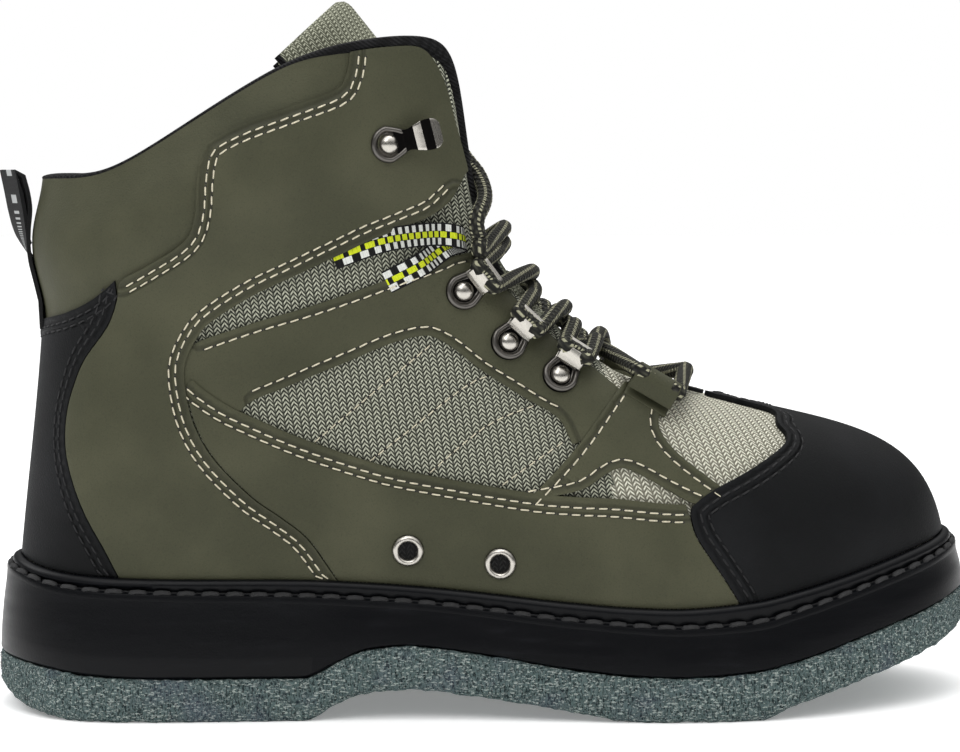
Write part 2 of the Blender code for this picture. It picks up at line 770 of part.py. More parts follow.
def find_on_side():
    """Finds loop positions on the outer side from a point seen from the side."""
    u, v = np.meshgrid(np.linspace(0, 1, 241), np.linspace(0, 1, 121), indexing="ij")
    seen = upper_point(u, v)[..., ::2]

    def find(point):
        target = np.array([share(point[0], SOLE_LENGTH), share(point[1], SHAFT_HEIGHT)])
        spot = np.unravel_index(np.argmin(np.linalg.norm(seen - target, axis=-1)), u.shape)
        here = np.array([u[spot], v[spot]])
        step = 1e-4
        for _ in range(4):
            now = upper_point(here[0], here[1])[::2]
            by_u = (upper_point(here[0] + step, here[1])[::2] - now) / step
            by_v = (upper_point(here[0], here[1] - step)[::2] - now) / -step
            move = np.linalg.solve(np.column_stack([by_u, by_v]), target - now)
            here = here + np.clip(move, -0.01, 0.01)
            here[1] = min(max(here[1], FOOT_MARGIN), 0.992)
        return here

    return find


SIDE = find_on_side()


def upper_grid():
    """The corners of the upper's facets, worked out once for each distance."""
    kept = {}

    def at(out):
        if out not in kept:
            u, v = np.meshgrid(
                np.arange(LOOP_COLUMNS) * 2 / LOOP_COLUMNS, np.linspace(0, 1, UPPER_ROWS), indexing="ij"
            )
            kept[out] = upper_point(u, v, np.full(u.shape, out))
        return lambda i, j: kept[out][i % LOOP_COLUMNS, min(j, UPPER_ROWS - 1)]

    return at


UPPER_GRID = upper_grid()


def foot(x_share):
    """Loop position on the outer side just above the welt."""
    u = np.linspace(0, 1, 400)
    spot = np.interp(share(x_share, SOLE_LENGTH), outline(u, np.full(400, WELT_LEDGE))[:, 0], u)
    return np.array([spot, FOOT_MARGIN])


def crest(x_share):
    """Loop position on the ridge over the toes."""
    v = np.linspace(0, 1, 400)
    ridge = upper_point(np.ones(400), v)[:, 0]
    return np.array([1.0, np.interp(share(x_share, SOLE_LENGTH), ridge[::-1], v[::-1])])


def inner(edge):
    """The same edge on the inner side."""
    return [np.array([2 - u, v]) for u, v in edge]


def across_heel(edge):
    """The same edge on the inner side, counted back past the heel."""
    return [np.array([-u, v]) for u, v in edge]


def even(edge):
    """Even steps along a smooth curve through an edge's loop positions."""
    points = np.array(edge)
    if len(points) > 2:
        points = smooth_path(points, 8 * len(points))
    scaled = points * (2 * SOLE_LENGTH, SHAFT_HEIGHT)
    run = np.concatenate([[0], np.cumsum(np.linalg.norm(np.diff(scaled, axis=0), axis=1))])
    spots = np.linspace(0, run[-1], max(1, round(run[-1] / PANEL_STEP)) + 1)
    return np.column_stack([np.interp(spots, run, points[:, k]) for k in (0, 1)])


def facet_point(u, v, out):
    """Point at a distance out from the upper as its facets run, not as its true curve does."""
    a = u * LOOP_COLUMNS / 2
    b = v * (UPPER_ROWS - 1)
    i = math.floor(a)
    j = min(math.floor(b), UPPER_ROWS - 2)
    a -= i
    b -= j
    corner = UPPER_GRID(out)
    if a + b <= 1:
        return corner(i, j) * (1 - a - b) + corner(i + 1, j) * a + corner(i, j + 1) * b
    return corner(i + 1, j + 1) * (a + b - 1) + corner(i + 1, j) * (1 - b) + corner(i, j + 1) * (1 - a)


def trim_outline(flat):
    """Drops points of a flat panel's outline that hardly bend it."""
    size = np.array([2 / LOOP_COLUMNS * 1.27 * SOLE_LENGTH, SHAFT_HEIGHT / (UPPER_ROWS - 1)])
    kept = set()
    for point in list(flat.verts):
        ends = [e.other_vert(point) for e in point.link_edges]
        if len(ends) != 2 or kept & set(ends):
            continue
        a, b, c = (np.array(p.co)[:2] * size for p in (ends[0], point, ends[1]))
        chord = c - a
        away = abs(chord[0] * (b - a)[1] - chord[1] * (b - a)[0]) / np.linalg.norm(chord)
        if away < PANEL_TRIM:
            bmesh.ops.dissolve_verts(flat, verts=[point])
        else:
            kept.add(point)


def panel(name, edges, surface):
    """A leather panel with the given bottom, right, top and left edges, laid on the upper.

    It is cut along the lines between the upper's facets, so it lies on each of them.
    """
    outline_points = []
    for edge, backwards in zip(edges, (False, False, True, True)):
        run = even(edge)
        outline_points += list((run[::-1] if backwards else run)[:-1])
    cells = [(u * LOOP_COLUMNS / 2, v * (UPPER_ROWS - 1)) for u, v in outline_points]
    flat = bmesh.new()
    flat.faces.new([flat.verts.new((a, b, 0)) for a, b in cells])
    flat.normal_update()
    for way in ((1, 0, 0), (0, 1, 0), (1, 1, 0)):
        reach = [a * way[0] + b * way[1] for a, b in cells]
        for line in range(math.ceil(min(reach)), math.floor(max(reach)) + 1):
            bmesh.ops.bisect_plane(
                flat,
                geom=flat.verts[:] + flat.edges[:] + flat.faces[:],
                dist=CUT_SNAP,
                plane_co=[w * line / sum(way) for w in way],
                plane_no=way,
            )
    bmesh.ops.remove_doubles(flat, verts=flat.verts[:], dist=CUT_SNAP)
    trim_outline(flat)
    bmesh.ops.triangulate(flat, faces=flat.faces[:])
    flat.verts.index_update()
    bm = bmesh.new()
    skins = []
    for out in (SEAT_GAP + PANEL, SEAT_GAP):
        spots = [(p.co.x * 2 / LOOP_COLUMNS, p.co.y / (UPPER_ROWS - 1)) for p in flat.verts]
        skins.append([bm.verts.new(tuple(facet_point(u, v, out))) for u, v in spots])
    for face in flat.faces:
        bm.faces.new([skins[0][p.index] for p in face.verts])
        bm.faces.new([skins[1][p.index] for p in reversed(face.verts)])
    for border in flat.edges:
        if border.is_boundary:
            a, b = (p.index for p in border.verts)
            bm.faces.new((skins[0][a], skins[0][b], skins[1][b], skins[1][a]))
    flat.free()
    return finish(name, bm, surface)


def both_sides(name, edges, surface):
    """The same panel on the outer and the inner side."""
    panel(f"{name}_outer", edges, surface)
    panel(f"{name}_inner", [inner(edge) for edge in edges], surface)


def make_overlays():
    """Counter, ankle panels, lace stays, mudguards, vamp straps and toe cap."""
    olive = material("leather_olive", (0.105, 0.105, 0.062), 0.6)
    black = material("leather_black", (0.014, 0.014, 0.017), 0.55)

    front = [foot(COUNTER_FOOT)] + [SIDE(p) for p in COUNTER_FRONT + [COUNTER_TIP]]
    low = [foot(COUNTER_FOOT), foot(COUNTER_FOOT / 2), np.array([0.0, FOOT_MARGIN])]
    high = [front[-1]] + [SIDE(p) for p in COUNTER_TOP]
    high.append(np.array([0.0, high[-1][1]]))
    bottom = low + across_heel(low[-2::-1])
    top = high + across_heel(high[-2::-1])
    panel("heel_counter", [bottom, across_heel(front), top, front], black)

    behind = [foot(COUNTER_FOOT + PANEL_GAP)]
    behind += [SIDE((x + PANEL_GAP, z)) for x, z in COUNTER_FRONT]
    seam = [SIDE(p) for p in COLLAR_SEAM]
    ankle_front = [foot(ANKLE_FOOT)] + [SIDE(p) for p in ANKLE_FRONT + FLAP_EDGE]
    shaft = [seam[-1]] + [SIDE(p) for p in SHAFT_FRONT]
    ankle_front.append(shaft[-1])
    low = [foot(COUNTER_FOOT + PANEL_GAP), foot(ANKLE_FOOT)]
    both_sides("ankle_panel", [low, ankle_front, shaft, behind + seam], olive)

    top = [SIDE(p) for p in STAY_TOP]
    bottom = [SIDE(p) for p in STAY_BOTTOM]
    front = [bottom[-1]] + [SIDE(p) for p in STAY_FRONT] + [top[-1]]
    both_sides("lace_stay", [bottom, front, top, [bottom[0], top[0]]], olive)

    top = [SIDE(p) for p in MUDGUARD_TOP]
    left = [foot(ANKLE_FOOT + PANEL_GAP)] + [SIDE((x + PANEL_GAP, z)) for x, z in ANKLE_FRONT]
    right = [foot(CAP_FOOT - PANEL_GAP)] + [SIDE((x - PANEL_GAP, z)) for x, z in CAP_BACK]
    low = [left[0], foot((ANKLE_FOOT + CAP_FOOT) / 2), right[0]]
    both_sides("mudguard", [low, right + [top[-1]], top, left + [top[0]]], olive)

    back = [SIDE(p) for p in STRAP_BACK]
    front = [SIDE(p) for p in STRAP_FRONT]
    low = [back[0]] + [SIDE(p) for p in STRAP_FOOT] + [front[0]]
    both_sides("vamp_strap", [low, front, [back[-1], front[-1]], back], olive)

    back = [foot(CAP_FOOT)] + [SIDE(p) for p in CAP_BACK]
    edge = [SIDE(p) for p in CAP_TOP]
    back.append(edge[0])
    ridge = crest(CAP_CREST)
    low = [back[0], foot((CAP_FOOT + 100) / 2), np.array([1.0, FOOT_MARGIN])]
    bottom = low + inner(low[-2::-1])
    top = edge + [ridge] + inner(edge[::-1])
    panel("toe_cap", [bottom, inner(back), top, back], black)

    sides = (1 - VAMP_STRIP_HALF, 1 + VAMP_STRIP_HALF)
    start = crest(CAP_CREST - PANEL_GAP)[1]
    ends = [[np.array([u, v]) for u in sides] for v in (start, VAMP_STRIP_TOP)]
    left = [ends[0][0], ends[1][0]]
    right = [ends[0][1], ends[1][1]]
    panel("vamp_strip", [ends[0], right, ends[1], left], black)


def make_binding():
    """Rolled binding over the topline, from one lace stay round the back to the other."""
    last = round(BINDING_END * LOOP_COLUMNS / 2)
    run = np.arange(-last, last + 1) * 2 / LOOP_COLUMNS
    rim = upper_point(run, np.ones(len(run)))
    below = upper_point(run, np.full(len(run), BELOW_RIM))
    up = rim - below
    up /= np.linalg.norm(up, axis=1, keepdims=True)
    out = upper_normal(run, np.ones(len(run)))
    thick = wall(run, np.ones(len(run)))[:, None]
    centre = rim - out * thick / 2 + up * (2 * SEAT_GAP + BINDING / 2)
    loops = []
    for angle in np.linspace(0, 2 * math.pi, 6, endpoint=False) + math.pi / 6:
        wide = (thick / 2 + BINDING / 4) * math.cos(angle) / math.cos(math.pi / 6)
        loops.append(centre + out * wide + up * BINDING / 2 * math.sin(angle))
    section_rings = np.array(loops).transpose(1, 0, 2)
    loft("topline_binding", section_rings, material("webbing_black", (0.015, 0.015, 0.016), 0.8))


def ribbon(name, rows, thickness, surface):
    """A strip through rows of (centre, direction across, direction out, half width)."""
    outer = []
    inner_face = []
    for centre, across, lift, half in rows:
        line = [centre + across * half * c for c in (-1, 1)]
        outer.append([p + lift * thickness / 2 for p in line])
        inner_face.append([p - lift * thickness / 2 for p in line])
    return shell(name, outer, inner_face, surface, False)


def seat_frame(spot, toward, mirrored):
    """Seat on a panel's face: a point with the ways along, across and out, on either side."""
    here = SIDE(spot)
    there = SIDE((spot[0] + toward[0], spot[1] + toward[1]))
    if mirrored:
        here, there = inner([here, there])
    out = SEAT_GAP + PANEL
    start = facet_point(*here, out)
    along = facet_point(*there, out) - start
    normal = upper_normal(*here)
    along -= normal * along.dot(normal)
    along /= np.linalg.norm(along)
    across = np.cross(normal, along) * (-1 if mirrored else 1)
    highest = 0.0
    for a in np.linspace(-1, 1, 9):
        for b in np.linspace(-1, 1, 9):
            near = facet_point(here[0] + a * SEAT_SPAN, min(here[1] + b * 3 * SEAT_SPAN, 1.0), out) - start
            if np.linalg.norm(near) < SEAT_REACH:
                highest = max(highest, near.dot(normal))
    return start + normal * (highest + SEAT_GAP), along, across, normal


def curl(name, frame, rows, thickness, surface, width=None):
    """A sheet strip bent along its length, standing on its seat."""
    start, along, across, normal = frame
    path = [(share(r.along, LACE_DIAMETER), share(r.rise, LACE_DIAMETER)) for r in rows]
    made = []
    for i, (a, h) in enumerate(path):
        before = path[max(i - 1, 0)]
        after = path[min(i + 1, len(path) - 1)]
        da, dh = after[0] - before[0], after[1] - before[1]
        size = math.hypot(da, dh)
        lift = normal * da / size - along * dh / size
        half = share(rows[i].half, width / 2 if width else LACE_DIAMETER)
        made.append((start + along * a + normal * h, across, lift, half))
    return ribbon(name, made, thickness, surface)


def ring_points(centre, a, b, radius, count):
    """A circle of points in the plane of a and b."""
    turns = np.arange(count) * 2 * math.pi / count
    return [centre + (a * math.cos(t) + b * math.sin(t)) * radius for t in turns]


def rivet(name, frame, surface):
    """A low domed rivet head on a plate."""
    start, along, across, normal = frame
    base = start + normal * (SHEET_METAL + SEAT_GAP)
    loops = []
    for lift, part in ((0.0, 1.0), (RIVET_DOME, RIVET_CROWN)):
        loops.append(ring_points(base + normal * lift, along, across, RIVET_RADIUS * part, 8))
    return loft(name, loops, surface)


def tube(name, path, radius, surface, sides=7):
    """A round tube along points."""
    path = np.array(path)
    loops = []
    side = np.array([0.0, 0.0, 1.0])
    for i in range(len(path)):
        ahead = path[min(i + 1, len(path) - 1)] - path[max(i - 1, 0)]
        ahead /= np.linalg.norm(ahead)
        side = side - ahead * side.dot(ahead)
        side /= np.linalg.norm(side)
        loops.append(ring_points(path[i], side, np.cross(ahead, side), radius, sides))
    return loft(name, loops, surface)


def make_hardware():
    """Lace tunnels, hooks, strap loops and drain eyelets on both sides."""
    metal = material("metal_nickel", (0.45, 0.44, 0.42), 0.35, 1.0)
    olive = material("leather_olive", (0.105, 0.105, 0.062), 0.6)
    for side_name, mirrored in (("outer", False), ("inner", True)):
        for number, (spot, toward) in enumerate(LACE_TUNNELS, 1):
            frame = seat_frame(spot, toward, mirrored)
            curl(f"lace_tunnel_{number}_{side_name}", frame, TUNNEL_CURL, SHEET_METAL, metal)
            rivet(f"tunnel_rivet_{number}_{side_name}", frame, metal)
        frame = seat_frame(*LACE_HOOK, mirrored)
        curl(f"lace_hook_{side_name}", frame, HOOK_CURL, SHEET_METAL, metal)
        rivet(f"hook_rivet_{side_name}", frame, metal)
        frame = seat_frame(*STRAP_LOOP, mirrored)
        curl(f"strap_loop_{side_name}", frame, STRAP_CURL, PANEL, olive, STRAP_LOOP_WIDTH)
        for number, spot in enumerate(DRAINS, 1):
            start, along, across, normal = seat_frame(spot, (1.0, 0.0), mirrored)
            loops = []
            for radius, lift in (
                (EYELET_OUTER, 0.0),
                ((EYELET_OUTER + EYELET_INNER) / 2, EYELET_RISE),
                (EYELET_INNER, 0.0),
            ):
                loops.append(ring_points(start + normal * lift, along, across, radius, 12))
            loft(f"drain_eyelet_{number}_{side_name}", loops, metal, ring=True)


def make_pull_loop():
    """Webbing sewn up the back seam, standing off in a loop above the collar."""
    back = np.array([UPPER_GRID(2 * SEAT_GAP)(0, j) for j in range(UPPER_ROWS)])
    rows = []
    centres = []
    for row in PULL_ROWS:
        z = share(row.z, SHAFT_HEIGHT)
        x = np.interp(z, back[:, 2], back[:, 0]) - PULL_THICKNESS / 2
        centres.append(np.array([x - row.away * PULL_REACH, 0.0, z]))
    across = np.array([0.0, 1.0, 0.0])
    for i, centre in enumerate(centres):
        ahead = centres[min(i + 1, len(centres) - 1)] - centres[max(i - 1, 0)]
        ahead /= np.linalg.norm(ahead)
        rows.append((centre, across, np.cross(across, ahead), PULL_WIDTH / 2))
    ribbon("pull_loop", rows, PULL_THICKNESS, material("webbing_black", (0.015, 0.015, 0.016), 0.8))


def make_webbing_loops():
    """Striped webbing below the ankle flap, folded round the lace at its front."""
    striped = material("webbing_striped", (0.20, 0.21, 0.10), 0.8)
    lower_out = SEAT_GAP + PANEL + WEBBING_LIFT
    upper_out = lower_out + WEBBING_APART
    for side_name, mirrored in (("outer", False), ("inner", True)):
        rows = []
        route = [(p, upper_out) for p in WEBBING_UPPER] + [(p, lower_out) for p in WEBBING_LOWER]
        route.insert(len(WEBBING_UPPER), (WEBBING_FOLD, (upper_out + lower_out) / 2))
        centres = []
        normals = []
        for spot, out in route:
            u, v = inner([SIDE(spot)])[0] if mirrored else SIDE(spot)
            centres.append(upper_point(u, v, out))
            normals.append(upper_normal(u, v))
        fold = len(WEBBING_UPPER)
        for i, (centre, normal) in enumerate(zip(centres, normals)):
            ahead = centres[min(i + 1, len(centres) - 1)] - centres[max(i - 1, 0)]
            if i < fold:
                ahead = centres[min(i + 1, fold - 1)] - centres[max(i - 1, 0)]
            elif i > fold:
                ahead = centres[min(i + 1, len(centres) - 1)] - centres[max(i - 1, fold + 1)]
            across = np.cross(normal, ahead)
            across /= np.linalg.norm(across)
            lift = normal if i < fold else -normal
            if i == fold:
                forward = centres[fold] - (centres[fold - 1] + centres[fold + 1]) / 2
                lift = forward / np.linalg.norm(forward)
                across = np.cross(normals[fold - 1], centres[fold - 1] - centres[fold - 2])
                across /= np.linalg.norm(across)
            elif i > fold:
                across = -across
            rows.append((centre, across, lift, WEBBING_WIDTH / 2))
        ribbon(f"webbing_loop_{side_name}", rows, WEBBING_THICKNESS, striped)


def barrel_end(spot, toward, rows, way, width, mirrored):
    """Two points where a lace leaves a loop: way is 1 up the instep, -1 down."""
    start, along, across, normal = seat_frame(spot, toward, mirrored)
    bend = [r for r in rows if r.rise > rows[0].rise + BEND_RISE]
    a = share(sum(r.along for r in bend) / len(bend), LACE_DIAMETER)
    h = share(sum(r.rise for r in bend) / len(bend), LACE_DIAMETER)
    axis = across * way * (1 if across[2] > 0 else -1)
    end = start + along * a + normal * h + axis * (width / 2 + LACE_CLEARANCE)
    return [end, end + axis * LACE_LEAD]


def lace_bed():
    """Places that a lace lies on, with the way out and the lace's clearance from each."""
    u, v = np.meshgrid(np.linspace(0.4, 1.0, 61), np.linspace(0.55, 1.0, 19), indexing="ij")
    leather = np.where(v < BELOW_RIM, PANEL + SEAT_GAP, 0.0)
    places = [upper_point(u, v).reshape(-1, 3)]
    ways = [upper_normal(u, v).reshape(-1, 3)]
    need = [leather.ravel() + LACE_DIAMETER / 2 + LACE_LIFT]
    s, t = np.meshgrid(np.linspace(0.05, 1.0, 40), np.linspace(-1, 0, 12), indexing="ij")
    step = 1e-3
    here = np.array(tongue_point(s, t))
    by_s = np.array(tongue_point(s + step, t)) - np.array(tongue_point(s - step, t))
    by_t = np.array(tongue_point(s, t + step)) - np.array(tongue_point(s, t - step))
    out = np.cross(by_t, by_s, axis=0)
    out *= np.sign(out[0]) / np.linalg.norm(out, axis=0)
    places.append(here.reshape(3, -1).T)
    ways.append(out.reshape(3, -1).T)
    need.append(np.full(s.size, LACE_DIAMETER / 2 + LACE_LIFT))
    return np.vstack(places), np.vstack(ways), np.concatenate(need)


def lay(path, bed):
    """The path with each point lifted clear of what the lace lies on."""
    places, ways, need = bed
    laid = []
    for point in path:
        mirror = np.array([1, -1 if point[1] > 0 else 1, 1])
        p = point * mirror
        for _ in range(3):
            near = np.argmin(np.linalg.norm(places - p, axis=1))
            short = need[near] - (p - places[near]).dot(ways[near])
            p = p + ways[near] * max(0.0, short)
        laid.append(p * mirror)
    return laid


def laid_strand(first, top, last, bed):
    """Lace from two end points, over a crest, to two other end points."""
    loose = smooth_path([first[1], top, last[1]], 17)
    bedded = lay(loose[1:-1], bed)
    return np.vstack([first[0], smooth_path([first[1]] + bedded + [last[1]], 11), last[0]])


def make_lace():
    """The lace's crossings and bar as joined solids, and its two ends."""
    lace = material("lace_olive", (0.03, 0.03, 0.025), 0.8)
    radius = LACE_DIAMETER / 2
    mirror = np.array([1, -1, 1])
    bed = lace_bed()
    tunnel_width = 2 * share(TUNNEL_CURL[-1].half, LACE_DIAMETER)
    lower = []
    upper = []
    bar_ends = []
    for mirrored in (False, True):
        strap = (*STRAP_LOOP, STRAP_CURL)
        lower.append([barrel_end(*t, TUNNEL_CURL, 1, tunnel_width, mirrored) for t in LACE_TUNNELS])
        lower[-1].append(barrel_end(*strap, 1, STRAP_LOOP_WIDTH, mirrored))
        upper.append([[place(p) * (mirror if mirrored else 1) for p in LACE_HOLD[::-1]]])
        upper[-1] += [barrel_end(*t, TUNNEL_CURL, -1, tunnel_width, mirrored) for t in LACE_TUNNELS]
        bar_ends.append(barrel_end(*strap, -1, STRAP_LOOP_WIDTH, mirrored))
    for number, (crest_x, crest_z) in enumerate(LACE_CREST):
        top = place((crest_x, 0.0, crest_z))
        path = laid_strand(lower[0][number], top, upper[1][number], bed)
        strand = tube(f"lace_crossing_{number + 1}", path, radius, lace)
        path = laid_strand(lower[1][number], top, upper[0][number], bed)
        other = tube(f"lace_crossing_{number + 1}_second", path, radius, lace)
        other.hide_render = True
        other.display_type = "WIRE"
        join = strand.modifiers.new("joined strands", "BOOLEAN")
        join.operation = "UNION"
        join.object = other
    crown = place((LACE_BAR_CREST[0], 0.0, LACE_BAR_CREST[1]))
    tube("lace_bar", laid_strand(bar_ends[0], crown, bar_ends[1], bed), radius, lace)
    for side_name, flip in (("outer", 1), ("inner", -1)):
        curve = bpy.data.curves.new(f"lace_end_{side_name}", "CURVE")
        curve.dimensions = "3D"
        curve.bevel_depth = radius
        curve.bevel_resolution = 2
        curve.use_fill_caps = True
        path = smooth_path([place(p) * (1, flip, 1) for p in LACE_END], 9)
        spline = curve.splines.new("POLY")
        spline.points.add(len(path) - 1)
        for point, (x, y, z) in zip(spline.points, path):
            point.co = (x, y, z, 1)
        curve.materials.append(lace)
        made = bpy.data.objects.new(f"lace_end_{side_name}", curve)
        bpy.context.scene.collection.objects.link(made)
        made.parent = BOOT


for old in list(bpy.data.objects):
    bpy.data.objects.remove(old)
BOOT = bpy.data.objects.new("boot", None)
BOOT.location = (-HEEL_CENTRE, 0, 0)
bpy.context.scene.collection.objects.link(BOOT)

make_outsole()
make_midsole()
make_welt()
make_upper()
make_tongue()
make_insole()
make_overlays()
make_binding()
make_hardware()
make_pull_loop()
make_webbing_loops()
make_lace()
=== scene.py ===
"""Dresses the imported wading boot: leather, mesh, felt, rubber, metal, stitching and lace.

Lengths are metres in the boot's own frame: +Z up, toe towards +X, outer side towards -Y. Tables
hold shares in per cent, x of the sole's length, y of the ball width, z of the shaft's height.
"""

import math
from collections import namedtuple

import bpy
import numpy as np
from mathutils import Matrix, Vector, noise

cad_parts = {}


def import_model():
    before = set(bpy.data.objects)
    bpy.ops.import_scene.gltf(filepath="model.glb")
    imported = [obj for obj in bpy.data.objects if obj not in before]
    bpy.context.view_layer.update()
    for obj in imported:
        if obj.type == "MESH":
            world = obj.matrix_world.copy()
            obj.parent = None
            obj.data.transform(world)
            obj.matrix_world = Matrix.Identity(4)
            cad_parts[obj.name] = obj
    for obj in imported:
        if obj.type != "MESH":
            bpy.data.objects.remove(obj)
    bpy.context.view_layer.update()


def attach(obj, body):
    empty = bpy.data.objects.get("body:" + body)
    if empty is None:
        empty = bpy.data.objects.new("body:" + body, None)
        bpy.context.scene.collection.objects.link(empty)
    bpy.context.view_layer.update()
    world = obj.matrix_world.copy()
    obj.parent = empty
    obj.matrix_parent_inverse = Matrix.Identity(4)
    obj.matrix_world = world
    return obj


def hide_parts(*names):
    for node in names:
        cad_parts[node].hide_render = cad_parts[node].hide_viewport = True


bl_info = {
    "name": "Wading boot",
    "version": (1, 0, 0),
    "blender": (4, 5, 0),
    "location": "View3D > Sidebar > Boot",
    "description": "Adds the finish of a felt-soled wading boot round its packed model",
    "category": "Object",
}

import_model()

# Sizes that the boot's forms share
SOLE_LENGTH = 0.315
BALL_WIDTH = 0.112
SHAFT_HEIGHT = 0.2105
FEATHER_HEIGHT = 0.048
HEEL_CENTRE = 0.045
SEAT_GAP = 0.0003
WELT_LEDGE = 0.0085
WELT_BEAD = 0.0042
WELT_STRIP = 0.0026
MIDSOLE_TAPER = 0.0020
INSOLE_THICKNESS = 0.0040
UPPER_WALL = 0.0024
COLLAR_WALL = 0.0056
COLLAR_PUFF = 0.0048
COLLAR_END = 0.46
COLLAR_FADE = 0.14
PANEL = 0.0013
PANEL_ROUND = 0.0003
PANEL_GAP = 0.14
FOOT_MARGIN = 0.001
TONGUE_THICKNESS = 0.0045
TONGUE_ARCH = 0.014
SHEET_METAL = 0.0009
LACE_DIAMETER = 0.0050
STRAP_LOOP_WIDTH = 0.0150
PULL_WIDTH = 0.0160
PULL_REACH = 0.0105
PULL_TURN = 22.0

# Fineness of the surfaces and the rows of stitches
FINE = 0.0030
STITCH_PITCH = 0.0039
STITCH_LENGTH = 0.0030
FIBRES = 5200
SEED = 4
WELT_STITCH_PITCH = 0.0074
WELT_STITCH_LENGTH = 0.0062
STRIPE_BARS = 44.0
MERGE = 1e-6
SLIVER = 1e-7

# Height shares where the collar's padding starts, how far it runs, and how fast its wall grows
PUFF_START = 0.60
PUFF_SPAN = 0.44
WALL_RISE = 0.25
UNDER_RIM = 0.97

# What is added to a sewn row's distances, so that a piece with no such row reads far off
SEWN_FAR = 10.0

Station = namedtuple(
    "Station",
    "foot_x foot_outer foot_inner rim_x rim_y rim_z low_dx low_dy low_dz high_dx high_dy high_dz",
)
STATIONS = [
    Station(0.0, 0.0, 0.0, 5.1, 0.0, 79.8, 1.3, 0.0, 20.0, 1.0, 0.0, -18.5),
    Station(1.9, 18.3, 18.3, 6.7, 15.2, 79.9, 1.1, 2.7, 20.0, 0.9, 0.0, -19.0),
    Station(7.0, 32.1, 31.7, 10.8, 25.9, 80.4, 0.3, 4.5, 20.0, 0.3, 0.9, -20.0),
    Station(15.9, 37.9, 37.1, 17.5, 32.6, 85.5, 0.0, 5.4, 20.0, 0.0, 2.7, -20.0),
    Station(26.0, 38.8, 36.2, 26.7, 34.4, 94.1, 0.0, 5.4, 20.9, 0.0, 2.7, -21.4),
    Station(35.6, 39.3, 33.6, 35.2, 33.0, 99.0, 0.0, 5.4, 21.9, 0.6, 1.8, -22.8),
    Station(42.2, 40.2, 34.0, 42.2, 29.5, 100.0, 0.0, 5.4, 21.4, 0.6, 2.7, -21.9),
    Station(47.6, 42.0, 36.4, 45.1, 25.0, 96.4, 0.0, 5.4, 20.9, 1.3, 4.5, -21.9),
    Station(52.1, 44.2, 40.2, 46.3, 23.2, 86.5, 0.0, 5.4, 20.0, 1.9, 7.1, -20.9),
    Station(56.5, 46.4, 43.3, 47.6, 22.3, 75.1, 0.0, 4.5, 19.0, 2.9, 9.8, -16.2),
    Station(61.3, 48.7, 46.0, 49.8, 21.4, 66.0, 0.0, 4.0, 18.1, 4.1, 12.5, -11.4),
    Station(67.0, 50.9, 49.1, 54.0, 20.1, 59.9, 0.3, 2.7, 17.1, 5.4, 14.3, -7.6),
    Station(73.7, 50.4, 48.7, 58.4, 17.9, 53.7, 0.6, 2.2, 17.1, 7.0, 15.2, -4.3),
    Station(81.3, 46.4, 45.5, 62.2, 13.8, 49.2, 1.0, 2.2, 17.6, 10.2, 13.4, -2.7),
    Station(89.5, 36.6, 39.3, 65.1, 7.1, 48.4, 0.6, 1.8, 17.3, 15.6, 8.0, -4.6),
    Station(95.9, 23.6, 28.6, 65.7, 3.1, 48.5, -0.8, 0.9, 17.2, 18.0, 4.0, -7.4),
    Station(100.0, -3.6, 3.6, 66.0, 0.0, 48.5, -2.6, 0.0, 17.5, 19.0, 0.0, -8.4),
]

Level = namedtuple("Level", "x tread felt_top welt_seat feather")
LEVELS = [
    Level(0.0, 15.6, 35.4, 90.6, 105.2),
    Level(2.2, 7.3, 34.6, 87.5, 101.5),
    Level(5.1, 2.5, 32.9, 82.9, 96.3),
    Level(8.3, 0.0, 30.4, 80.4, 93.8),
    Level(15.9, 0.0, 27.9, 78.3, 91.7),
    Level(30.5, 0.0, 27.7, 75.8, 90.4),
    Level(33.7, 10.4, 37.1, 74.6, 89.4),
    Level(36.8, 17.5, 45.8, 73.3, 88.1),
    Level(40.6, 19.4, 48.1, 71.7, 86.3),
    Level(47.6, 15.0, 42.9, 67.1, 82.1),
    Level(56.5, 6.3, 33.8, 60.4, 76.0),
    Level(62.9, 0.0, 29.6, 57.1, 72.9),
    Level(67.0, 0.0, 28.8, 55.8, 72.1),
    Level(74.9, 0.0, 31.7, 58.3, 75.8),
    Level(79.4, 9.6, 37.9, 65.0, 81.7),
    Level(86.0, 21.3, 49.8, 76.3, 92.1),
    Level(93.3, 34.2, 62.5, 88.8, 104.2),
    Level(98.0, 43.8, 70.4, 96.7, 110.5),
    Level(100.0, 47.9, 72.9, 99.2, 112.5),
]

TongueRow = namedtuple("TongueRow", "x z width wrap")
TONGUE_ROWS = [
    TongueRow(70.0, 44.0, 22.2, 6.0),
    TongueRow(65.0, 46.2, 30.5, 12.0),
    TongueRow(60.6, 51.3, 43.3, 21.0),
    TongueRow(55.9, 58.0, 52.2, 27.0),
    TongueRow(51.4, 65.6, 55.5, 33.0),
    TongueRow(48.2, 73.8, 55.5, 38.0),
    TongueRow(45.3, 83.2, 54.4, 41.0),
    TongueRow(42.5, 92.0, 53.3, 42.0),
    TongueRow(38.6, 100.2, 53.6, 45.0),
    TongueRow(35.0, 106.9, 53.0, 47.0),
]

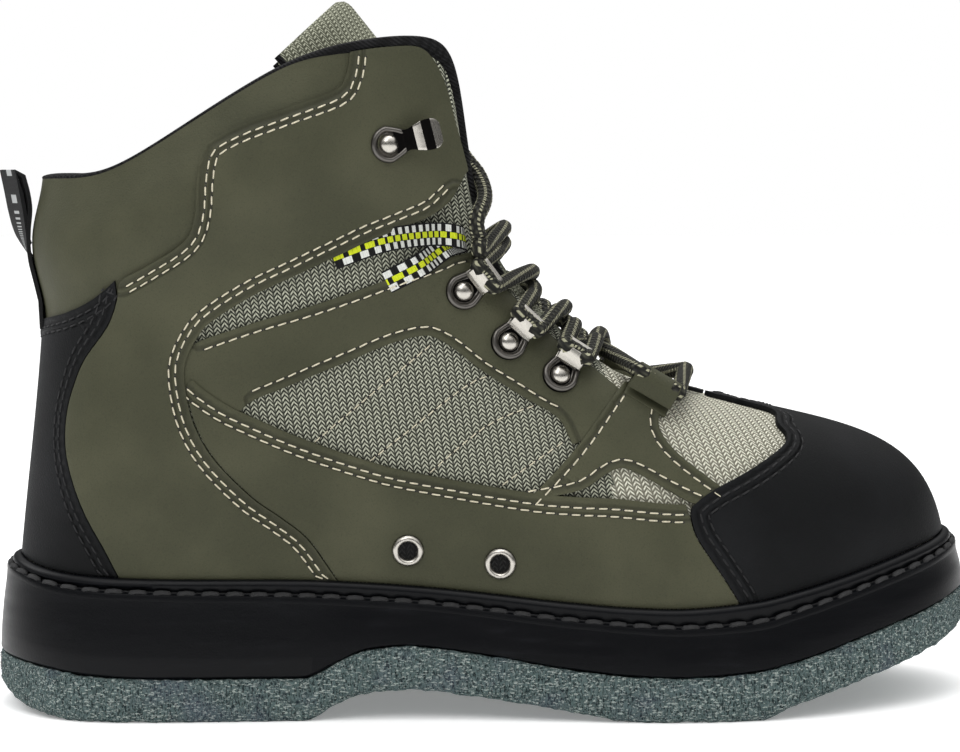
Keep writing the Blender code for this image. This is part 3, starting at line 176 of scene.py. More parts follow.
# Panel edges on the outer side, each point a pair (x, z), from back to front or bottom to top
COUNTER_FRONT = [
    (11.0, 25.7),
    (9.2, 31.0),
    (8.0, 36.6),
    (7.6, 40.8),
    (7.8, 45.1),
    (8.5, 49.1),
    (9.6, 53.1),
    (11.8, 58.0),
    (12.7, 62.0),
]
COUNTER_TIP = (12.6, 64.9)
COUNTER_TOP = [(10.9, 62.6), (8.9, 60.7), (6.7, 59.3), (4.8, 57.9)]
COUNTER_FOOT = 12.5
COLLAR_SEAM = [
    (13.2, 64.9),
    (15.6, 67.0),
    (19.2, 70.6),
    (20.3, 74.4),
    (20.6, 79.3),
    (21.3, 83.6),
    (23.2, 85.9),
    (28.6, 89.2),
    (33.6, 92.0),
    (34.9, 94.5),
    (35.3, 97.8),
]
SHAFT_FRONT = [(39.0, 98.6), (42.0, 98.6), (43.4, 96.6), (44.6, 92.4), (45.6, 86.7), (46.6, 80.6)]
ANKLE_FOOT = 33.9
ANKLE_FRONT = [(31.1, 26.5), (28.5, 29.8), (25.4, 33.2), (21.9, 38.7), (20.0, 43.9), (19.2, 49.4)]
FLAP_EDGE = [
    (19.3, 53.2),
    (20.6, 57.0),
    (22.0, 59.1),
    (25.6, 62.5),
    (30.0, 65.6),
    (34.3, 68.6),
    (37.0, 70.5),
    (40.1, 72.3),
    (43.4, 74.4),
    (45.4, 77.2),
]
STAY_TOP = [
    (17.8, 53.6),
    (20.6, 56.0),
    (24.5, 58.0),
    (30.4, 60.6),
    (35.2, 62.9),
    (40.1, 65.5),
    (44.2, 67.6),
    (47.0, 68.6),
    (49.3, 66.0),
    (51.0, 62.3),
    (53.6, 58.4),
    (56.0, 54.8),
    (58.8, 51.9),
    (61.8, 48.2),
]
STAY_BOTTOM = [
    (18.4, 48.4),
    (21.2, 45.0),
    (23.8, 45.2),
    (25.8, 47.4),
    (29.5, 49.6),
    (35.1, 53.0),
    (39.2, 55.5),
    (42.6, 56.6),
    (44.1, 55.9),
    (47.9, 51.7),
    (51.8, 47.9),
    (55.4, 44.7),
    (57.0, 40.6),
]
STAY_FRONT = [(58.2, 41.4), (60.4, 45.4)]
MUDGUARD_TOP = [
    (20.0, 50.4),
    (21.1, 48.9),
    (24.1, 46.0),
    (30.1, 41.9),
    (36.2, 38.6),
    (41.3, 36.5),
    (47.7, 34.7),
    (53.4, 33.4),
    (57.5, 32.9),
    (61.7, 32.6),
    (68.0, 31.7),
]
STRAP_BACK = [(52.6, 32.4), (56.3, 38.2), (58.4, 42.0), (60.3, 45.7), (62.3, 49.0)]
STRAP_FRONT = [(72.2, 33.4), (67.4, 38.9), (65.7, 42.2), (65.7, 44.3), (66.6, 46.2), (68.3, 47.3)]
STRAP_FOOT = [(57.7, 33.9), (60.2, 36.2), (61.8, 37.1), (63.5, 36.2), (65.9, 34.2), (69.4, 31.6)]
CAP_FOOT = 73.4
CAP_BACK = [(71.3, 22.0), (69.2, 26.7), (68.5, 30.0)]
CAP_TOP = [
    (68.7, 31.4),
    (69.6, 32.5),
    (71.6, 34.2),
    (75.8, 37.1),
    (78.6, 39.4),
    (79.1, 40.7),
    (78.5, 42.6),
    (76.4, 44.4),
    (74.3, 45.7),
]
CAP_CREST = 72.4
VAMP_STRIP_HALF = 0.075
VAMP_MESH_START = 0.146
WINDOW_LINES = [
    ((31.6, 40.9), (43.2, 55.3)),
    ((37.0, 38.0), (48.8, 50.6)),
    ((42.9, 36.2), (53.4, 46.3)),
    ((50.0, 34.4), (56.2, 41.0)),
]

LACE_TUNNELS = [((46.4, 63.0), (2.6, 3.0)), ((50.8, 55.5), (2.2, 3.4)), ((55.9, 50.5), (1.9, 3.8))]
LACE_HOOK = ((39.0, 84.5), (5.2, 1.9))
DRAINS = [(40.9, 24.9), (50.0, 23.0)]
STRAP_LOOP = ((64.6, 46.6), (1.2, 2.6))
WEBBING_UPPER = [(33.6, 68.0), (38.2, 70.4), (42.2, 71.3), (44.6, 71.2)]
WEBBING_FOLD = (46.2, 70.4)
WEBBING_LOWER = [(44.3, 69.4), (42.2, 67.0), (38.8, 64.4)]

Curl = namedtuple("Curl", "along rise half")
# Strips of sheet in millimetres from the rivet: along, above the panel, and half width
TUNNEL_CURL = [
    Curl(3.6, 0.9, 4.4),
    Curl(6.6, 0.9, 4.4),
    Curl(8.8, 1.3, 4.3),
    Curl(10.4, 2.5, 4.2),
    Curl(10.9, 4.1, 4.2),
    Curl(10.0, 5.9, 4.2),
    Curl(8.1, 6.8, 4.2),
    Curl(6.0, 6.3, 4.2),
    Curl(4.4, 4.9, 4.1),
    Curl(3.4, 3.2, 4.0),
]
HOOK_CURL = [
    Curl(2.0, 0.6, 4.2),
    Curl(4.8, 0.9, 3.4),
    Curl(6.4, 2.6, 3.2),
    Curl(8.4, 4.6, 4.0),
    Curl(11.4, 5.4, 4.8),
    Curl(14.0, 4.8, 4.4),
    Curl(15.6, 3.6, 2.8),
]
STRAP_CURL = [
    Curl(-3.4, 0.7, 1.0),
    Curl(0.0, 0.9, 1.0),
    Curl(2.6, 1.4, 1.0),
    Curl(5.2, 3.0, 1.0),
    Curl(6.4, 5.2, 1.0),
    Curl(5.4, 7.6, 1.0),
    Curl(2.8, 8.6, 1.0),
    Curl(0.4, 7.4, 1.0),
    Curl(-0.8, 5.4, 1.0),
    Curl(-1.8, 3.2, 1.0),
]
BARREL = (7.6, 3.9)
STRAP_BARREL = (2.9, 5.2)

Pull = namedtuple("Pull", "z away")
PULL_ROWS = [
    Pull(57.0, 0.0),
    Pull(60.5, 0.0),
    Pull(64.0, 0.0),
    Pull(67.4, 0.03),
    Pull(71.2, 0.26),
    Pull(75.0, 0.56),
    Pull(78.8, 0.86),
    Pull(81.0, 1.0),
    Pull(82.3, 0.96),
    Pull(81.2, 0.84),
    Pull(78.8, 0.66),
    Pull(75.4, 0.4),
    Pull(72.0, 0.16),
    Pull(69.6, 0.04),
]

LACE_CREST = [(51.5, 71.1), (54.5, 64.3), (57.9, 58.9), (61.5, 54.7)]
LACE_HOLD = [(47.97, -35.0, 68.98), (47.97, -35.2, 70.69)]
LACE_BAR_CREST = (70.5, 50.0)
LACE_END = [
    (47.87, -35.3, 71.16),
    (47.62, -35.5, 72.78),
    (47.81, -34.5, 74.20),
    (48.32, -31.2, 75.44),
    (48.70, -26.6, 76.58),
    (48.76, -21.6, 78.10),
    (48.32, -17.3, 80.19),
    (47.24, -14.8, 82.38),
    (46.10, -14.1, 84.75),
    (45.08, -14.8, 87.03),
]
# How far a strand moves out of and along the instep where it crosses over or under the other
LACE_OVER = (0.0014, -0.0014)
LACE_UNDER = (-0.0020, 0.0018)
INSTEP_OUT = (0.69, 0.72)

# The photograph's camera
CAMERA_PLACE = (0.0355, -0.8468, 0.1696)
CAMERA_TARGET = (0.1096, 0.0, 0.1035)
CAMERA_LENS = 98.46
CAMERA_SENSOR = 36.0

# Each lamp's name, place, size and power
LAMPS = (
    ("key", (-0.45, -0.95, 1.15), 0.6, 4.0),
    ("top", (0.15, -0.1, 1.5), 0.9, 5.0),
    ("rim", (-0.9, 0.5, 0.8), 0.5, 2.5),
)
LAMP_TARGET = (0.11, 0.0, 0.1)
WHITE = (1.0, 1.0, 1.0, 1.0)
# Black for the leather's pores, and for the painted shade along its stitch grooves
PORE_AND_SHADE_BLACK = (0.0, 0.0, 0.0, 1.0)


def closed_curve(knots, values, period):
    """A smooth closed curve through the values, one row of numbers for each knot."""
    knots = np.asarray(knots, float)
    values = np.asarray(values, float)
    count = len(knots)
    step = np.diff(np.append(knots, knots[0] + period))
    rise = (np.roll(values, -1, 0) - values) / step[:, None]
    matrix = np.zeros((count, count))
    right = np.zeros_like(values)
    for i in range(count):
        before = (i - 1) % count
        after = (i + 1) % count
        matrix[i, before] += step[i]
        matrix[i, i] += 2 * (step[before] + step[i])
        matrix[i, after] += step[before]
        right[i] = 3 * (step[i] * rise[before] + step[before] * rise[i])
    slope = np.linalg.solve(matrix, right)

    def curve(u):
        u = (np.asarray(u, float) - knots[0]) % period + knots[0]
        i = np.clip(np.searchsorted(knots, u, side="right") - 1, 0, count - 1)
        j = (i + 1) % count
        t = ((u - knots[i]) / step[i])[..., None]
        h = step[i][..., None]
        return (
            values[i] * (1 + 2 * t) * (1 - t) ** 2
            + slope[i] * h * t * (1 - t) ** 2
            + values[j] * t * t * (3 - 2 * t)
            + slope[j] * h * t * t * (t - 1)
        )

    return curve


def steady_curve(xs, ys):
    """A curve through the points that never overshoots."""
    xs = np.asarray(xs, float)
    ys = np.asarray(ys, float)
    step = np.diff(xs)
    rise = np.diff(ys) / step
    slope = np.zeros(len(xs))
    for i in range(1, len(xs) - 1):
        if rise[i - 1] * rise[i] > 0:
            near = 2 * step[i] + step[i - 1]
            far = step[i] + 2 * step[i - 1]
            slope[i] = (near + far) / (near / rise[i - 1] + far / rise[i])
    slope[0] = rise[0]
    slope[-1] = rise[-1]

    def curve(x):
        x = np.clip(np.asarray(x, float), xs[0], xs[-1])
        i = np.clip(np.searchsorted(xs, x, side="right") - 1, 0, len(xs) - 2)
        t = (x - xs[i]) / step[i]
        return (
            ys[i] * (1 + 2 * t) * (1 - t) ** 2
            + slope[i] * step[i] * t * (1 - t) ** 2
            + ys[i + 1] * t * t * (3 - 2 * t)
            + slope[i + 1] * step[i] * t * t * (t - 1)
        )

    return curve


def share(percent, size):
    """A share in per cent of a size."""
    return np.asarray(percent, float) / 100 * size


def at(point):
    """A point given in shares of the sole's length, the ball width and the shaft height."""
    sizes = (SOLE_LENGTH, BALL_WIDTH, SHAFT_HEIGHT)
    return np.array([share(p, size) for p, size in zip(point, sizes)])


def loop_stations():
    """Knots and rows once round the boot: heel, outer side, toe, inner side."""
    lengths = share([s.foot_x for s in STATIONS], SOLE_LENGTH)
    widths = share([s.foot_outer + s.foot_inner for s in STATIONS], BALL_WIDTH) / 2
    run = np.concatenate([[0], np.cumsum(np.hypot(np.diff(lengths), np.diff(widths)))])
    run = run / run[-1]
    sizes = [SOLE_LENGTH, BALL_WIDTH] + [SOLE_LENGTH, BALL_WIDTH, SHAFT_HEIGHT] * 3
    knots = []
    rows = []
    for side in (-1, 1):
        order = range(len(STATIONS)) if side < 0 else range(len(STATIONS) - 2, 0, -1)
        for i in order:
            s = STATIONS[i]
            foot_y = s.foot_outer if side < 0 else s.foot_inner
            row = [s.foot_x, side * foot_y, s.rim_x, side * s.rim_y, s.rim_z]
            row += [s.low_dx, side * s.low_dy, s.low_dz, s.high_dx, side * s.high_dy, s.high_dz]
            knots.append(run[i] if side < 0 else 2 - run[i])
            rows.append([share(value, size) for value, size in zip(row, sizes)])
    return knots, rows


LOOP = closed_curve(*loop_stations(), 2.0)
LEVEL_CURVES = {
    name: steady_curve(
        [share(row.x, SOLE_LENGTH) for row in LEVELS],
        [share(getattr(row, name), FEATHER_HEIGHT) for row in LEVELS],
    )
    for name in ("tread", "felt_top", "welt_seat", "feather")
}


def outline(u, inset=0.0):
    """The sole's outline at loop position u (0 heel, 1 toe), moved inwards by inset."""
    u = np.asarray(u, float)
    here = LOOP(u)[..., :2]
    ahead = LOOP(u + 1e-4)[..., :2] - LOOP(u - 1e-4)[..., :2]
    ahead /= np.linalg.norm(ahead, axis=-1, keepdims=True)
    inward = np.stack([-ahead[..., 1], ahead[..., 0]], axis=-1)
    return here + inward * (np.zeros(u.shape) + inset)[..., None]


def level(name, x):
    """Height of one of the sole's layers at x."""
    return LEVEL_CURVES[name](x)


def smooth_step(x):
    """0 below 0, 1 above 1, and smooth between."""
    x = np.clip(x, 0, 1)
    return x * x * (3 - 2 * x)


def upper_base(u, v):
    """Point of the bare upper at loop position u and height share v, from feather to rim."""
    row = LOOP(u)
    foot = outline(u, WELT_LEDGE)
    feather = level("feather", foot[..., 0])
    low = np.concatenate([foot, feather[..., None]], axis=-1)
    rim = row[..., 2:5]
    v = np.asarray(v, float)[..., None]
    a = low + row[..., 5:8]
    b = rim + row[..., 8:11]
    return low * (1 - v) ** 3 + 3 * a * v * (1 - v) ** 2 + 3 * b * v * v * (1 - v) + rim * v**3


def collar_share(u):
    """1 round the back of the collar, falling to 0 at the front of the shaft."""
    away = np.minimum(np.asarray(u, float) % 2, 2 - np.asarray(u, float) % 2)
    return np.clip((COLLAR_END - away) / COLLAR_FADE, 0, 1)


def upper_normal(u, v):
    """Outward direction of the upper at u, v."""
    u, v = np.broadcast_arrays(np.asarray(u, float), np.asarray(v, float))
    low = np.clip(v - 1e-3, 0, 1)
    high = np.clip(v + 1e-3, 0, 1)
    along = upper_base(u + 1e-3, v) - upper_base(u - 1e-3, v)
    across = upper_base(u, high) - upper_base(u, low)
    normal = np.cross(along, across)
    return normal / np.linalg.norm(normal, axis=-1, keepdims=True)


def upper_point(u, v, out=0.0):
    """Point at a distance out from the upper's outer face, with the collar's padding."""
    u, v = np.broadcast_arrays(np.asarray(u, float), np.asarray(v, float))
    hump = np.sin(math.pi * np.clip((v - PUFF_START) / PUFF_SPAN, 0, 1)) ** 2
    puff = COLLAR_PUFF * collar_share(u) * hump
    return upper_base(u, v) + upper_normal(u, v) * (puff + out)[..., None]


def wall(u, v):
    """Thickness of the upper at u, v."""
    padded = collar_share(u) * np.clip((np.asarray(v, float) - PUFF_START) / WALL_RISE, 0, 1)
    return UPPER_WALL + (COLLAR_WALL - UPPER_WALL) * padded


def tongue_point(s, t, depth=0.0):
    """Point of the tongue: s from under the vamp to the top, t across from -1 to 1."""
    spots = np.linspace(0, 1, len(TONGUE_ROWS))
    xs = [share(r.x, SOLE_LENGTH) for r in TONGUE_ROWS]
    zs = [share(r.z, SHAFT_HEIGHT) for r in TONGUE_ROWS]
    x = np.interp(s, spots, xs)
    z = np.interp(s, spots, zs)
    width = np.interp(s, spots, [share(r.width, BALL_WIDTH) for r in TONGUE_ROWS])
    wrap = np.interp(s, spots, [r.wrap / 100 for r in TONGUE_ROWS])
    ahead = 0.5 / len(TONGUE_ROWS)
    along = [np.interp(s + ahead, spots, k) - np.interp(s - ahead, spots, k) for k in (xs, zs)]
    along = np.array(along) / np.linalg.norm(along, axis=0)
    back = wrap * width * t * t + depth
    return np.stack([x - along[1] * back, width / 2 * t, z + along[0] * back], axis=-1)


def smooth_path(points, count):
    """Evenly spaced points on a smooth curve through a route's own points."""
    points = np.array(points, float)
    padded = np.vstack([2 * points[0] - points[1], points, 2 * points[-1] - points[-2]])
    t = np.linspace(0, 1, 12, endpoint=False)[:, None]
    runs = []
    for a, b, c, d in zip(padded, padded[1:], padded[2:], padded[3:]):
        square = a - 2.5 * b + 2 * c - d / 2
        cube = 1.5 * (b - c) + (d - a) / 2
        runs.append(b + t * (c - a) / 2 + t**2 * square + t**3 * cube)
    fine = np.vstack(runs + [points[-1:]])
    run = np.concatenate([[0], np.cumsum(np.linalg.norm(np.diff(fine, axis=0), axis=1))])
    spots = np.linspace(0, run[-1], count)
    return np.column_stack([np.interp(spots, run, column) for column in fine.T])


def find_on_side():
    """Finds loop positions on the outer side from a point seen from the side."""
    u, v = np.meshgrid(np.linspace(0, 1, 241), np.linspace(0, 1, 121), indexing="ij")
    seen = upper_point(u, v)[..., ::2]

    def find(point):
        target = np.array([share(point[0], SOLE_LENGTH), share(point[1], SHAFT_HEIGHT)])
        spot = np.unravel_index(np.argmin(np.linalg.norm(seen - target, axis=-1)), u.shape)
        here = np.array([u[spot], v[spot]])
        step = 1e-4
        for _ in range(4):
            now = upper_point(here[0], here[1])[::2]
            by_u = (upper_point(here[0] + step, here[1])[::2] - now) / step
            by_v = (upper_point(here[0], here[1] - step)[::2] - now) / -step
            move = np.linalg.solve(np.column_stack([by_u, by_v]), target - now)
            here = here + np.clip(move, -0.01, 0.01)
            here[1] = min(max(here[1], FOOT_MARGIN), 0.992)
        return here

    return find


SIDE = find_on_side()


def on_side(points):
    """Loop positions on the outer side of points seen from the side."""
    return [SIDE(p) for p in points]


def foot(x_share):
    """Loop position on the outer side just above the welt."""
    u = np.linspace(0, 1, 400)
    spot = np.interp(share(x_share, SOLE_LENGTH), outline(u, WELT_LEDGE)[:, 0], u)
    return np.array([spot, FOOT_MARGIN])


def crest(x_share):
    """Loop position on the ridge over the toes."""
    v = np.linspace(0, 1, 400)
    ridge = upper_point(np.ones(400), v)[:, 0]
    return np.array([1.0, np.interp(share(x_share, SOLE_LENGTH), ridge[::-1], v[::-1])])


def inner(edge):
    """The same edge on the inner side."""
    return [np.array([2 - u, v]) for u, v in edge]


def across_heel(edge):
    """The same edge on the inner side, counted back past the heel."""
    return [np.array([-u, v]) for u, v in edge]


def run_of(points):
    """Distance along a row of points."""
    return np.concatenate([[0], np.cumsum(np.linalg.norm(np.diff(points, axis=0), axis=1))])


def even(edge, pitch):
    """Loop positions at an even pitch along a smooth curve through an edge's own."""
    points = np.array(edge)
    if len(points) > 2:
        points = smooth_path(points, 10 * len(points))
    else:
        points = points[0] + np.linspace(0, 1, 30)[:, None] * (points[1] - points[0])
    run = run_of(upper_point(points[:, 0], points[:, 1]))
    spots = np.linspace(0, run[-1], max(2, round(run[-1] / pitch)) + 1)
    return np.column_stack([np.interp(spots, run, points[:, k]) for k in (0, 1)])


def shifted(edge, distance, pitch=0.0015):
    """A line on the upper at a distance to the left of an edge, seen from outside."""
    line = even(edge, pitch)
    u, v = line.T
    step = 1e-3
    by_u = (upper_point(u + step, v) - upper_point(u - step, v)) / (2 * step)
    low = np.clip(v - step, 0, 1)
    high = np.clip(v + step, 0, 1)
    by_v = (upper_point(u, high) - upper_point(u, low)) / (high - low)[:, None]
    points = upper_point(u, v)
    ahead = np.gradient(points, axis=0)
    ahead /= np.linalg.norm(ahead, axis=1, keepdims=True)
    aside = np.cross(upper_normal(u, v), ahead) * distance
    moved = []
    for a, b, d, here in zip(by_u, by_v, aside, line):
        change = np.linalg.lstsq(np.column_stack([a, b]), d, rcond=None)[0]
        moved.append(here + change)
    moved = np.array(moved)
    moved[:, 1] = np.clip(moved[:, 1], 0.004, 0.996)
    return moved


def world(points):
    """Points of the boot's own frame in the part's frame, whose origin is under the heel."""
    return np.asarray(points, float) - (HEEL_CENTRE, 0, 0)


class Value:
    """A shader's value, on which sums add Math nodes."""

    def __init__(self, shader, socket):
        self.shader = shader
        self.socket = socket

    def math(self, operation, other=0.0, swapped=False):
        pair = (other, self) if swapped else (self, other)
        return self.shader.node("ShaderNodeMath", {"operation": operation}, dict(enumerate(pair)))

    def __add__(self, other):
        return self.math("ADD", other)

    def __radd__(self, other):
        return self.math("ADD", other)

    def __sub__(self, other):
        return self.math("SUBTRACT", other)

    def __rsub__(self, other):
        return self.math("SUBTRACT", other, True)

    def __mul__(self, other):
        return self.math("MULTIPLY", other)

    def __rmul__(self, other):
        return self.math("MULTIPLY", other)

    def __truediv__(self, other):
        return self.math("DIVIDE", other)

    def __abs__(self):
        return self.math("ABSOLUTE")

    def part(self):
        return self.math("FRACT")

    def sine(self):
        return self.math("SINE")

    def above(self, edge):
        return self.math("GREATER_THAN", edge)

    def away(self, reach):
        """0 on a line that the value is counted from, 1 beyond the reach."""
        return abs(self).soft(0.0, reach)

    def soft(self, low, high):
        settings = {"interpolation_type": "SMOOTHSTEP"}
        return self.shader.node("ShaderNodeMapRange", settings, {0: self, 1: low, 2: high})


class Shader:
    """A surface built on one Principled node."""

    def __init__(self, name, **constants):
        self.material = bpy.data.materials.new(name)
        self.material.use_nodes = True
        self.tree = self.material.node_tree
        self.surface = self.tree.nodes["Principled BSDF"]
        for key, value in constants.items():
            self.surface.inputs[key.replace("_", " ")].default_value = value

    def node(self, kind, settings, inputs, output=0):
        made = self.tree.nodes.new(kind)
        for key, value in settings.items():
            setattr(made, key, value)
        for key, value in inputs.items():
            if isinstance(value, Value):
                self.tree.links.new(value.socket, made.inputs[key])
            else:
                made.inputs[key].default_value = value
        return Value(self, made.outputs[output])

    def axes(self, source="Object"):
        outputs = {"Object": 3, "UV": 2}
        place = self.node("ShaderNodeTexCoord", {}, {}, outputs[source])
        return place, [self.node("ShaderNodeSeparateXYZ", {}, {0: place}, k) for k in range(3)]

    def noise(self, place, scale, detail=3.0, roughness=0.5):
        values = {"Vector": place, "Scale": scale, "Detail": detail, "Roughness": roughness}
        return self.node("ShaderNodeTexNoise", {}, values)

    def cells(self, place, scale):
        values = {"Vector": place, "Scale": scale}
        return self.node("ShaderNodeTexVoronoi", {"feature": "F1"}, values)

    def attribute(self, name):
        """A sewn row's distance kept on the piece's points, far off where the piece has none."""
        settings = {"attribute_type": "GEOMETRY", "attribute_name": name}
        return self.node("ShaderNodeAttribute", settings, {}, 2) - SEWN_FAR

    def stretch(self, place, scale):
        return self.node("ShaderNodeMapping", {}, {"Vector": place, "Scale": scale})

    def mix(self, factor, a, b):
        inputs = {0: factor, 6: a, 7: b}
        return self.node("ShaderNodeMix", {"data_type": "RGBA"}, inputs, 2)

    def set(self, **links):
        for key, value in links.items():
            self.tree.links.new(value.socket, self.surface.inputs[key.replace("_", " ")])
        return self.material

    def bump(self, height, distance, strength=1.0):
        inputs = {"Height": height, "Distance": distance, "Strength": strength}
        return self.node("ShaderNodeBump", {}, inputs)


def user_colour(name):
    """One of the colours that the sidebar's settings hold."""
    return (*getattr(bpy.context.scene.boot_colours, name), 1.0)


def user_size(name):
    """One of the sizes that the sidebar's settings hold."""
    return getattr(bpy.context.scene.boot_sizes, name)


def colour(red, green, blue):
    """A shader colour from screen values of 0 to 255."""
    linear = []
    for value in (red, green, blue):
        part = value / 255
        linear.append(part / 12.92 if part <= 0.04045 else ((part + 0.055) / 1.055) ** 2.4)
    return (*linear, 1.0)


def leather(name, base, light, roughness, specular):
    """Grained leather: pores, cloudy patches, and a soft groove along its sewn rows, darkened with
    painted shade.
    """
    shader = Shader(name, Specular_IOR_Level=specular)
    place, _ = shader.axes()
    clouds = shader.noise(place, 26.0, 4.0)
    pores = shader.noise(place, 2100.0, 2.0, 0.7)
    grain = shader.cells(place, 1500.0)
    tone = shader.mix(clouds.soft(0.35, 0.75) * 0.8, base, light)
    tone = shader.mix((1 - pores.soft(0.28, 0.50)) * 0.22, tone, PORE_AND_SHADE_BLACK)
    tone = shader.mix(pores.soft(0.56, 0.76) * 0.35, tone, light)
    rows = [shader.attribute(f"sewn_{k}") for k in (1, 2)]
    groove = 1 - rows[0].away(0.9) * rows[1].away(0.9)
    # Painted shade: the leather is darkened within 0.9 mm of the sewn rows, where the groove lies
    tone = shader.mix(groove * 0.35, tone, PORE_AND_SHADE_BLACK)
    height = grain * 0.10 + pores * 0.14 + clouds * 0.5 - groove * 0.9
    return shader.set(
        Base_Color=tone,
        Roughness=roughness + (pores - 0.5) * 0.25,
        Normal=shader.bump(height, 0.0008, 0.8),
    )


def knit(name, thread, gap, wale, course, lean=0.0, depth=0.0006):
    """Open knit: columns of slanting loops, wale apart, in courses, with dark gaps between."""
    shader = Shader(name, Roughness=0.85, Specular_IOR_Level=0.25)
    place, (x, y, z) = shader.axes()
    girth = z - abs(y) * 0.8
    wobble = shader.noise(place, 420.0, 2.0) - 0.5
    rib = x / wale + girth * (lean / wale) + wobble * 0.12
    zigzag = abs(rib.part() - 0.5) * 2
    phase = (girth / course + zigzag * 1.1 + wobble * 0.25) * (2 * math.pi)
    strand = (phase.sine() * 0.5 + 0.5).soft(0.22, 0.70)
    valley = 1 - zigzag.soft(0.70, 0.95) * 0.85
    ridge = 1 - (1 - zigzag).soft(0.90, 1.0) * 0.35
    cover = strand * valley * ridge
    fibres = shader.noise(place, 3200.0, 2.0)
    tone = shader.mix(cover, gap, thread)
    tone = shader.mix(fibres.soft(0.35, 0.7) * 0.30, tone, gap)
    return shader.set(Base_Color=tone, Normal=shader.bump(cover + fibres * 0.15, depth, 1.0))


def felt_finish():
    """Needled felt: blue-green grey with light and dark fibres."""
    shader = Shader("felt", Roughness=1.0, Specular_IOR_Level=0.1)
    place, _ = shader.axes()
    fibre = shader.noise(shader.stretch(place, (1.0, 1.0, 0.34)), 2100.0, 3.0, 0.7)
    cross = shader.noise(shader.stretch(place, (0.5, 1.0, 1.2)), 1500.0, 3.0, 0.7)
    tuft = shader.noise(place, 330.0, 3.0, 0.6)
    patch = shader.noise(place, 60.0, 3.0)
    deep, middle, pale = (user_colour(n) for n in ("felt_dark", "felt", "felt_light"))
    tone = shader.mix(fibre.soft(0.38, 0.56), deep, middle)
    tone = shader.mix(cross.soft(0.52, 0.66) * 0.85, tone, pale)
    tone = shader.mix(tuft.soft(0.54, 0.76) * 0.45, tone, deep)
    tone = shader.mix(patch.soft(0.5, 0.75) * 0.30, tone, colour(88, 92, 118))
    return shader.set(Base_Color=tone, Normal=shader.bump(fibre + cross + tuft * 1.5, 0.0012, 1.0))


def rubber_finish():
    """Smooth black rubber with faint scuffs."""
    shader = Shader("rubber", Specular_IOR_Level=0.14)
    place, _ = shader.axes()
    scuff = shader.noise(shader.stretch(place, (0.35, 0.35, 2.4)), 150.0, 4.0)
    fine = shader.noise(place, 1900.0, 2.0)
    base = user_colour("rubber")
    tone = shader.mix(scuff.soft(0.55, 0.85) * 0.5, base, colour(24, 25, 29))
    return shader.set(
        Base_Color=tone,
        Roughness=0.27 + scuff * 0.2,
        Normal=shader.bump(fine + scuff, 0.00010, 0.5),
    )


def thread_and_shade_finish(name, base):
    """Twisted sewing thread; the same finish gives the near-black painted shade at the stitches' ends."""
    shader = Shader(name, Roughness=0.7)
    place, _ = shader.axes()
    twist = shader.noise(place, 2600.0, 2.0)
    tone = shader.mix(twist.soft(0.35, 0.65), base, tuple(c * 0.72 for c in base[:3]) + (1.0,))
    return shader.set(Base_Color=tone, Normal=shader.bump(twist, 0.0002))


def woven_finish():
    """Black webbing with fine ribs across it."""
    shader = Shader("webbing_black", Roughness=0.8, Specular_IOR_Level=0.2)
    _, (x, y, z) = shader.axes()
    ribs = (z * 5200.0 + x * 3100.0).sine() * 0.5 + 0.5
    cross = (y * 5200.0).sine() * 0.5 + 0.5
    tone = shader.mix(ribs * cross * 0.8, colour(9, 9, 10), colour(36, 36, 38))
    return shader.set(Base_Color=tone, Normal=shader.bump(ribs + cross, 0.0003))


def striped_finish():
    """Black webbing: white bars along its edges and yellow blocks along its middle."""
    shader = Shader("webbing_striped", Roughness=0.75, Specular_IOR_Level=0.25)
    _, (run, across, _) = shader.axes("UV")
    middle = abs(across - 0.5)
    bars = (run * STRIPE_BARS).part().above(0.46)
    blocks = (run * STRIPE_BARS + 0.42).part().above(0.30)
    white = bars * middle.above(0.15) * (1 - middle.above(0.44))
    yellow = blocks * (1 - middle.above(0.13))
    tone = shader.mix(white, colour(12, 12, 13), colour(228, 230, 224))
    tone = shader.mix(yellow, tone, user_colour("stripe"))
    rib = (run * STRIPE_BARS * 8 * math.pi).sine()
    return shader.set(Base_Color=tone, Normal=shader.bump(rib + white + yellow, 0.0002))


def pull_finish():
    """Black webbing with pale ladder bars down its middle."""
    shader = Shader("pull_webbing", Roughness=0.7, Specular_IOR_Level=0.25)
    _, (run, across, _) = shader.axes("UV")
    bars = (run * 64.0).part().above(0.60)
    middle = 1 - abs(across - 0.42).above(0.16)
    rib = (across * 90.0).sine() * 0.5 + 0.5
    tone = shader.mix(rib * 0.25, colour(8, 8, 9), colour(34, 34, 36))
    tone = shader.mix(bars * middle * 0.85, tone, colour(190, 192, 192))
    return shader.set(Base_Color=tone, Normal=shader.bump(rib + bars, 0.0003))


def metal_and_shade_finish(name, base, rough):
    """Satin nickel plate with fine scratches; the same finish gives the near-black painted shade on the
    tunnels, hooks and drains.
    """
    shader = Shader(name, Metallic=1.0)
    place, _ = shader.axes()
    scratch = shader.noise(shader.stretch(place, (1.0, 6.0, 1.0)), 420.0, 3.0)
    tone = shader.mix(scratch, base, tuple(c * 0.8 for c in base[:3]) + (1.0,))
    return shader.set(
        Base_Color=tone, Roughness=rough + scratch * 0.15, Normal=shader.bump(scratch, 0.00005)
    )


